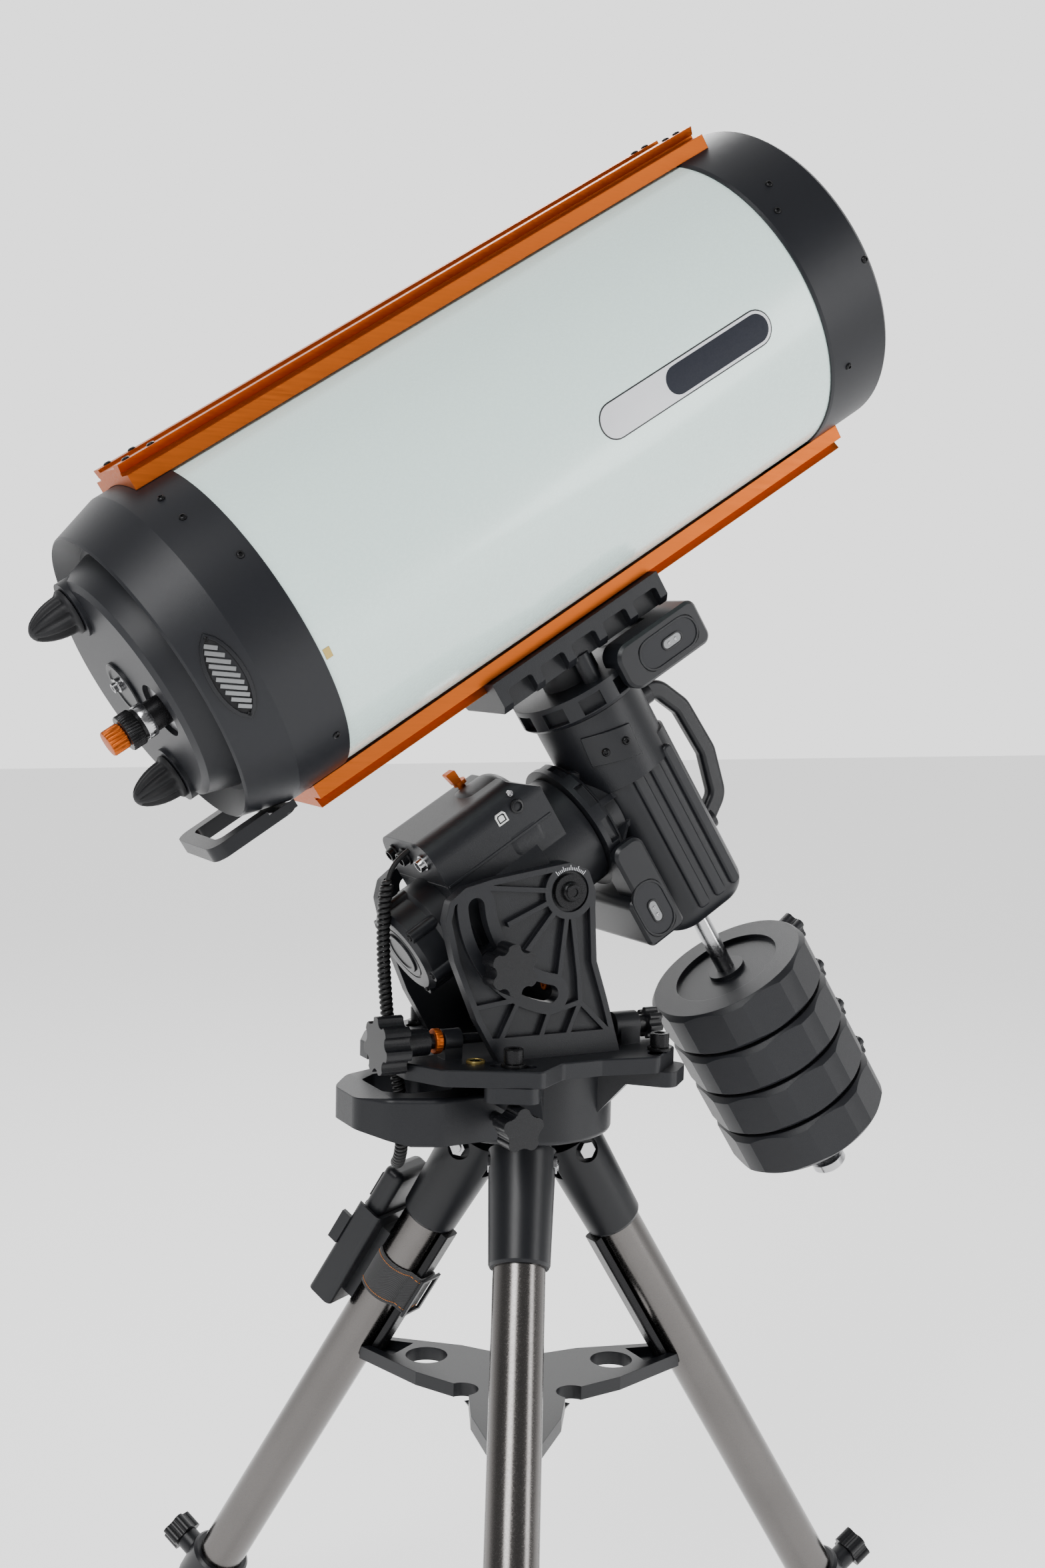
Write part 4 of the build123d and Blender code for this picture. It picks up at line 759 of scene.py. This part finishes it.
def hand_control_face():
    """Display window and rubber keys on the hand control's outer face."""
    face = LEFT @ at(-59.0, 0, 0) @ facing((-1, 0, 0), (0, 0, -1))
    window = prism([(-20, -108), (20, -108), (20, -84), (-20, -84)], -0.5, 0.7)
    piece("display", window, face, "hand_control", "lcd", 0.8)
    rim = [(-24, -111), (24, -111), (24, -80), (-24, -80)]
    hole = [(-20.4, -108), (20.4, -108), (20.4, -84), (-20.4, -84)]
    bezel = frame_of(rim, hole, -0.5, 1.2)
    piece("display_bezel", bezel, face, "hand_control", "knob", 0.5)
    keys = []
    for row in range(6):
        for column in range(3):
            key = prism(pill(11.5, 7.5, 6), -0.4, 2.0)
            keys.append(moved(key, at(-15 + 15 * column, -124 - 12.5 * row)))
    piece("keys", join(*keys), face, "hand_control", "rubber", 0.7)


def strap():
    """Webbing that goes round the leg and its strut, with orange stitches and a ladder buckle."""
    body = bmesh.new()
    inner, outer = strap_loop(0.0), strap_loop(1.9)
    rows = []
    for outline, s in ((inner, 151), (outer, 151), (outer, 197), (inner, 197)):
        rows.append([body.verts.new((x, y, s)) for x, y in outline])
    for a, b in zip(rows, rows[1:] + rows[:1]):
        for k in range(len(a) - 1):
            body.faces.new((a[k], a[k + 1], b[k + 1], b[k]))
    for end in (0, -1):
        body.faces.new([row[end] for row in rows])
    web = piece("strap_webbing", body, LEFT, "tripod", "web")
    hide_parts("handset_strap")
    stitches = []
    line = strap_loop(2.2)
    for s in (155, 193):
        for a, b in zip(line, line[1:]):
            a, b = Vector((*a, s)), Vector((*b, s))
            count = max(1, int((b - a).length / 4.5))
            for k in range(count):
                p, q = a.lerp(b, (k + 0.15) / count), a.lerp(b, (k + 0.75) / count)
                bar = lathe([(0, 0.0), (0, 0.35), ((q - p).length, 0.35), ((q - p).length, 0.0)], 6)
                stitches.append(moved(bar, Matrix.Translation(p) @ facing(q - p)))
    piece("strap_stitches", join(*stitches), LEFT, "tripod", "thread")
    place = LEFT @ at(36.9, 0, 0) @ facing((1, 0, 0), (0, 0, 1))
    rim = [(-17, -25), (17, -25), (17, 25), (-17, 25)]
    hole = [(-11, -21), (11, -21), (11, 21), (-11, 21)]
    buckle = frame_of(rim, hole, 0, 3.4)
    piece("strap_buckle", moved(buckle, at(0, 174, 0)), place, "tripod", "plastic", 0.8)


def strap_loop(rise):
    """The strap's way round the leg tube and the bar behind it: points across the leg."""
    r = 25.9 + rise
    found = []
    for k in range(25):
        t = math.radians(138 - (138 - 34) * k / 24)
        found.append((r * math.cos(t), r * math.sin(t)))
    edge, side = 34.5 + rise, 12.0 + rise
    found += [(edge - 2, side), (edge, side - 2), (edge, 0)]
    mirrored = [(x, -y) for x, y in reversed(found[:-1])]
    return found + mirrored


# ---------------------------------------------------------------- cord
CORD_ROUTE = [
    (-140, -20, 980), (-157, -20, 969), (-163, -18, 940), (-162, -12, 900), (-157, -6, 850),
    (-149, 0, 800), (-140, 4, 765), (-131, 8, 726), (-124, 20, 684), (-116, 48, 654),
    (-106, 82, 650), (-92, 106, 646),
]
LEAD = 5.0
COIL_R = 4.4


def spline_object(name, points, radius):
    """A smooth curve through the air with a round section."""
    curve = bpy.data.curves.new(name, "CURVE")
    curve.dimensions = "3D"
    line = curve.splines.new("NURBS")
    line.points.add(len(points) - 1)
    for p, q in zip(line.points, points):
        p.co = (*q, 1)
    line.order_u = 3
    line.use_endpoint_u = True
    line.resolution_u = 8
    curve.bevel_depth = radius
    curve.bevel_resolution = 3
    thing = bpy.data.objects.new(name, curve)
    bpy.context.scene.collection.objects.link(thing)
    return thing


def sampled(points):
    """The smooth line that a route makes, as points."""
    guide = spline_object("guide", points, 0)
    guide.data.resolution_u = 24
    mesh = bpy.data.meshes.new_from_object(guide)
    line = [v.co.copy() for v in mesh.vertices]
    bpy.data.objects.remove(guide)
    bpy.data.meshes.remove(mesh)
    return line


def curly_cord():
    """The hand control's curly cord: straight at both ends, a helix between."""
    route = sampled([WORLD @ Vector(p) for p in CORD_ROUTE])
    lengths = [0.0]
    for a, b in zip(route, route[1:]):
        lengths.append(lengths[-1] + (b - a).length)
    total = lengths[-1]
    start, end, pitch = 0.035, total - 0.05, (LEAD + 0.35) * MM
    turns = int((end - start) / pitch)
    side = Vector((0, 1, 0))
    points = []

    def along(s):
        k = max(j for j in range(len(route)) if lengths[j] <= s + 1e-9)
        k = min(k, len(route) - 2)
        share = (s - lengths[k]) / max(1e-9, lengths[k + 1] - lengths[k])
        return route[k].lerp(route[k + 1], share), (route[k + 1] - route[k]).normalized()

    for k in range(4):
        points.append(along(start * k / 4)[0])
    steps = 12
    for k in range(turns * steps + 1):
        s = start + (end - start) * k / (turns * steps)
        middle, way = along(s)
        side = (side - way * side.dot(way)).normalized()
        across = way.cross(side)
        turn = 2 * math.pi * k / steps
        ease = min(1.0, k / steps, (turns * steps - k) / steps)
        points.append(middle + (side * math.cos(turn) + across * math.sin(turn)) * COIL_R * MM * ease)
    for k in range(1, 5):
        points.append(along(end + (total - end) * k / 4)[0])
    cord = spline_object("curly_cord", points, LEAD / 2 * MM)
    cord.data.resolution_u = 3
    cord.data.materials.append(M["cord"])
    length = sum((b - a).length for a, b in zip(points, points[1:]))
    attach(cord, "tripod")
    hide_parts("handset_cord")
    return cord, points, length


# ---------------------------------------------------------------- studio
def studio():
    floor_mesh = bmesh.new()
    bmesh.ops.create_grid(floor_mesh, x_segments=2, y_segments=2, size=14)
    data = bpy.data.meshes.new("floor")
    floor_mesh.to_mesh(data)
    floor_mesh.free()
    floor = bpy.data.objects.new("floor", data)
    bpy.context.scene.collection.objects.link(floor)
    paint, nodes, links, body = shader("floor_paint", (1.0, 1.0, 1.0), 0.95)
    body.inputs["Emission Color"].default_value = (1, 1, 1, 1)
    body.inputs["Emission Strength"].default_value = 0.55
    data.materials.append(paint)
    world = bpy.data.worlds.new("studio")
    world.use_nodes = True
    nodes, links = world.node_tree.nodes, world.node_tree.links
    nodes["Background"].inputs["Color"].default_value = (1, 1, 1, 1)
    place = nodes.new("ShaderNodeTexCoord")
    side = nodes.new("ShaderNodeVectorMath")
    side.operation = "DOT_PRODUCT"
    side.inputs[1].default_value = (0.465, 0.885, 0.0)
    links.new(place.outputs["Generated"], side.inputs[0])
    glow = ramp(nodes, links, side.outputs["Value"], 0.30, 1.9, -0.1, 0.75)
    links.new(glow, nodes["Background"].inputs["Strength"])
    bpy.context.scene.world = world

    def lamp(name, spot, target, width, height, energy):
        light = bpy.data.lights.new(name, "AREA")
        light.shape = "RECTANGLE"
        light.size, light.size_y, light.energy = width, height, energy
        thing = bpy.data.objects.new(name, light)
        thing.location = spot
        thing.rotation_mode = "QUATERNION"
        thing.rotation_quaternion = (Vector(target) - Vector(spot)).to_track_quat("-Z", "Y")
        bpy.context.scene.collection.objects.link(thing)

    lamp("key", (-2.6, -2.0, 3.3), (0, 0, 1.0), 1.5, 2.2, 130)
    lamp("fill", (2.4, -2.8, 1.6), (0.1, 0, 0.9), 0.9, 2.6, 62)
    lamp("rim", (1.2, 2.2, 3.4), (0, 0, 1.1), 2.0, 1.0, 60)


def camera():
    data = bpy.data.cameras.new("camera")
    data.sensor_width, data.sensor_fit = 36.0, "AUTO"
    data.lens = 43.51
    data.shift_x, data.shift_y = -0.0089, 0.0048
    thing = bpy.data.objects.new("camera", data)
    ahead = Vector((0.4631, 0.8825, -0.0826)).normalized()
    level = ahead.cross(Vector((0, 0, 1))).normalized()
    over = level.cross(ahead)
    roll = math.radians(1.26)
    right = level * math.cos(roll) + over * math.sin(roll)
    up = right.cross(ahead)
    thing.matrix_world = Matrix((right, up, -ahead)).transposed().to_4x4()
    thing.location = (-0.8676 - CENTRE_X * MM, -1.6660 - CENTRE_Y * MM, 1.1876)
    bpy.context.scene.collection.objects.link(thing)
    bpy.context.scene.camera = thing


camera()
studio()
label()
tube_screws()
grille()
focuser()
mirror_locks()
back_fittings()
optics()
rail_bolts()
cover_window("dec_window", 76, 124, 90, 74, 34, "dec_axis")
cover_window("ra_window", -72, -91.5, 0, 61, 38, "ra_axis")
neck_cover()
housing_ports()
pod_seam()
end_cap_details()
base_details()
bolt_sockets()
hand_control_face()
strap()
the_cord, cord_points, cord_length = curly_cord()
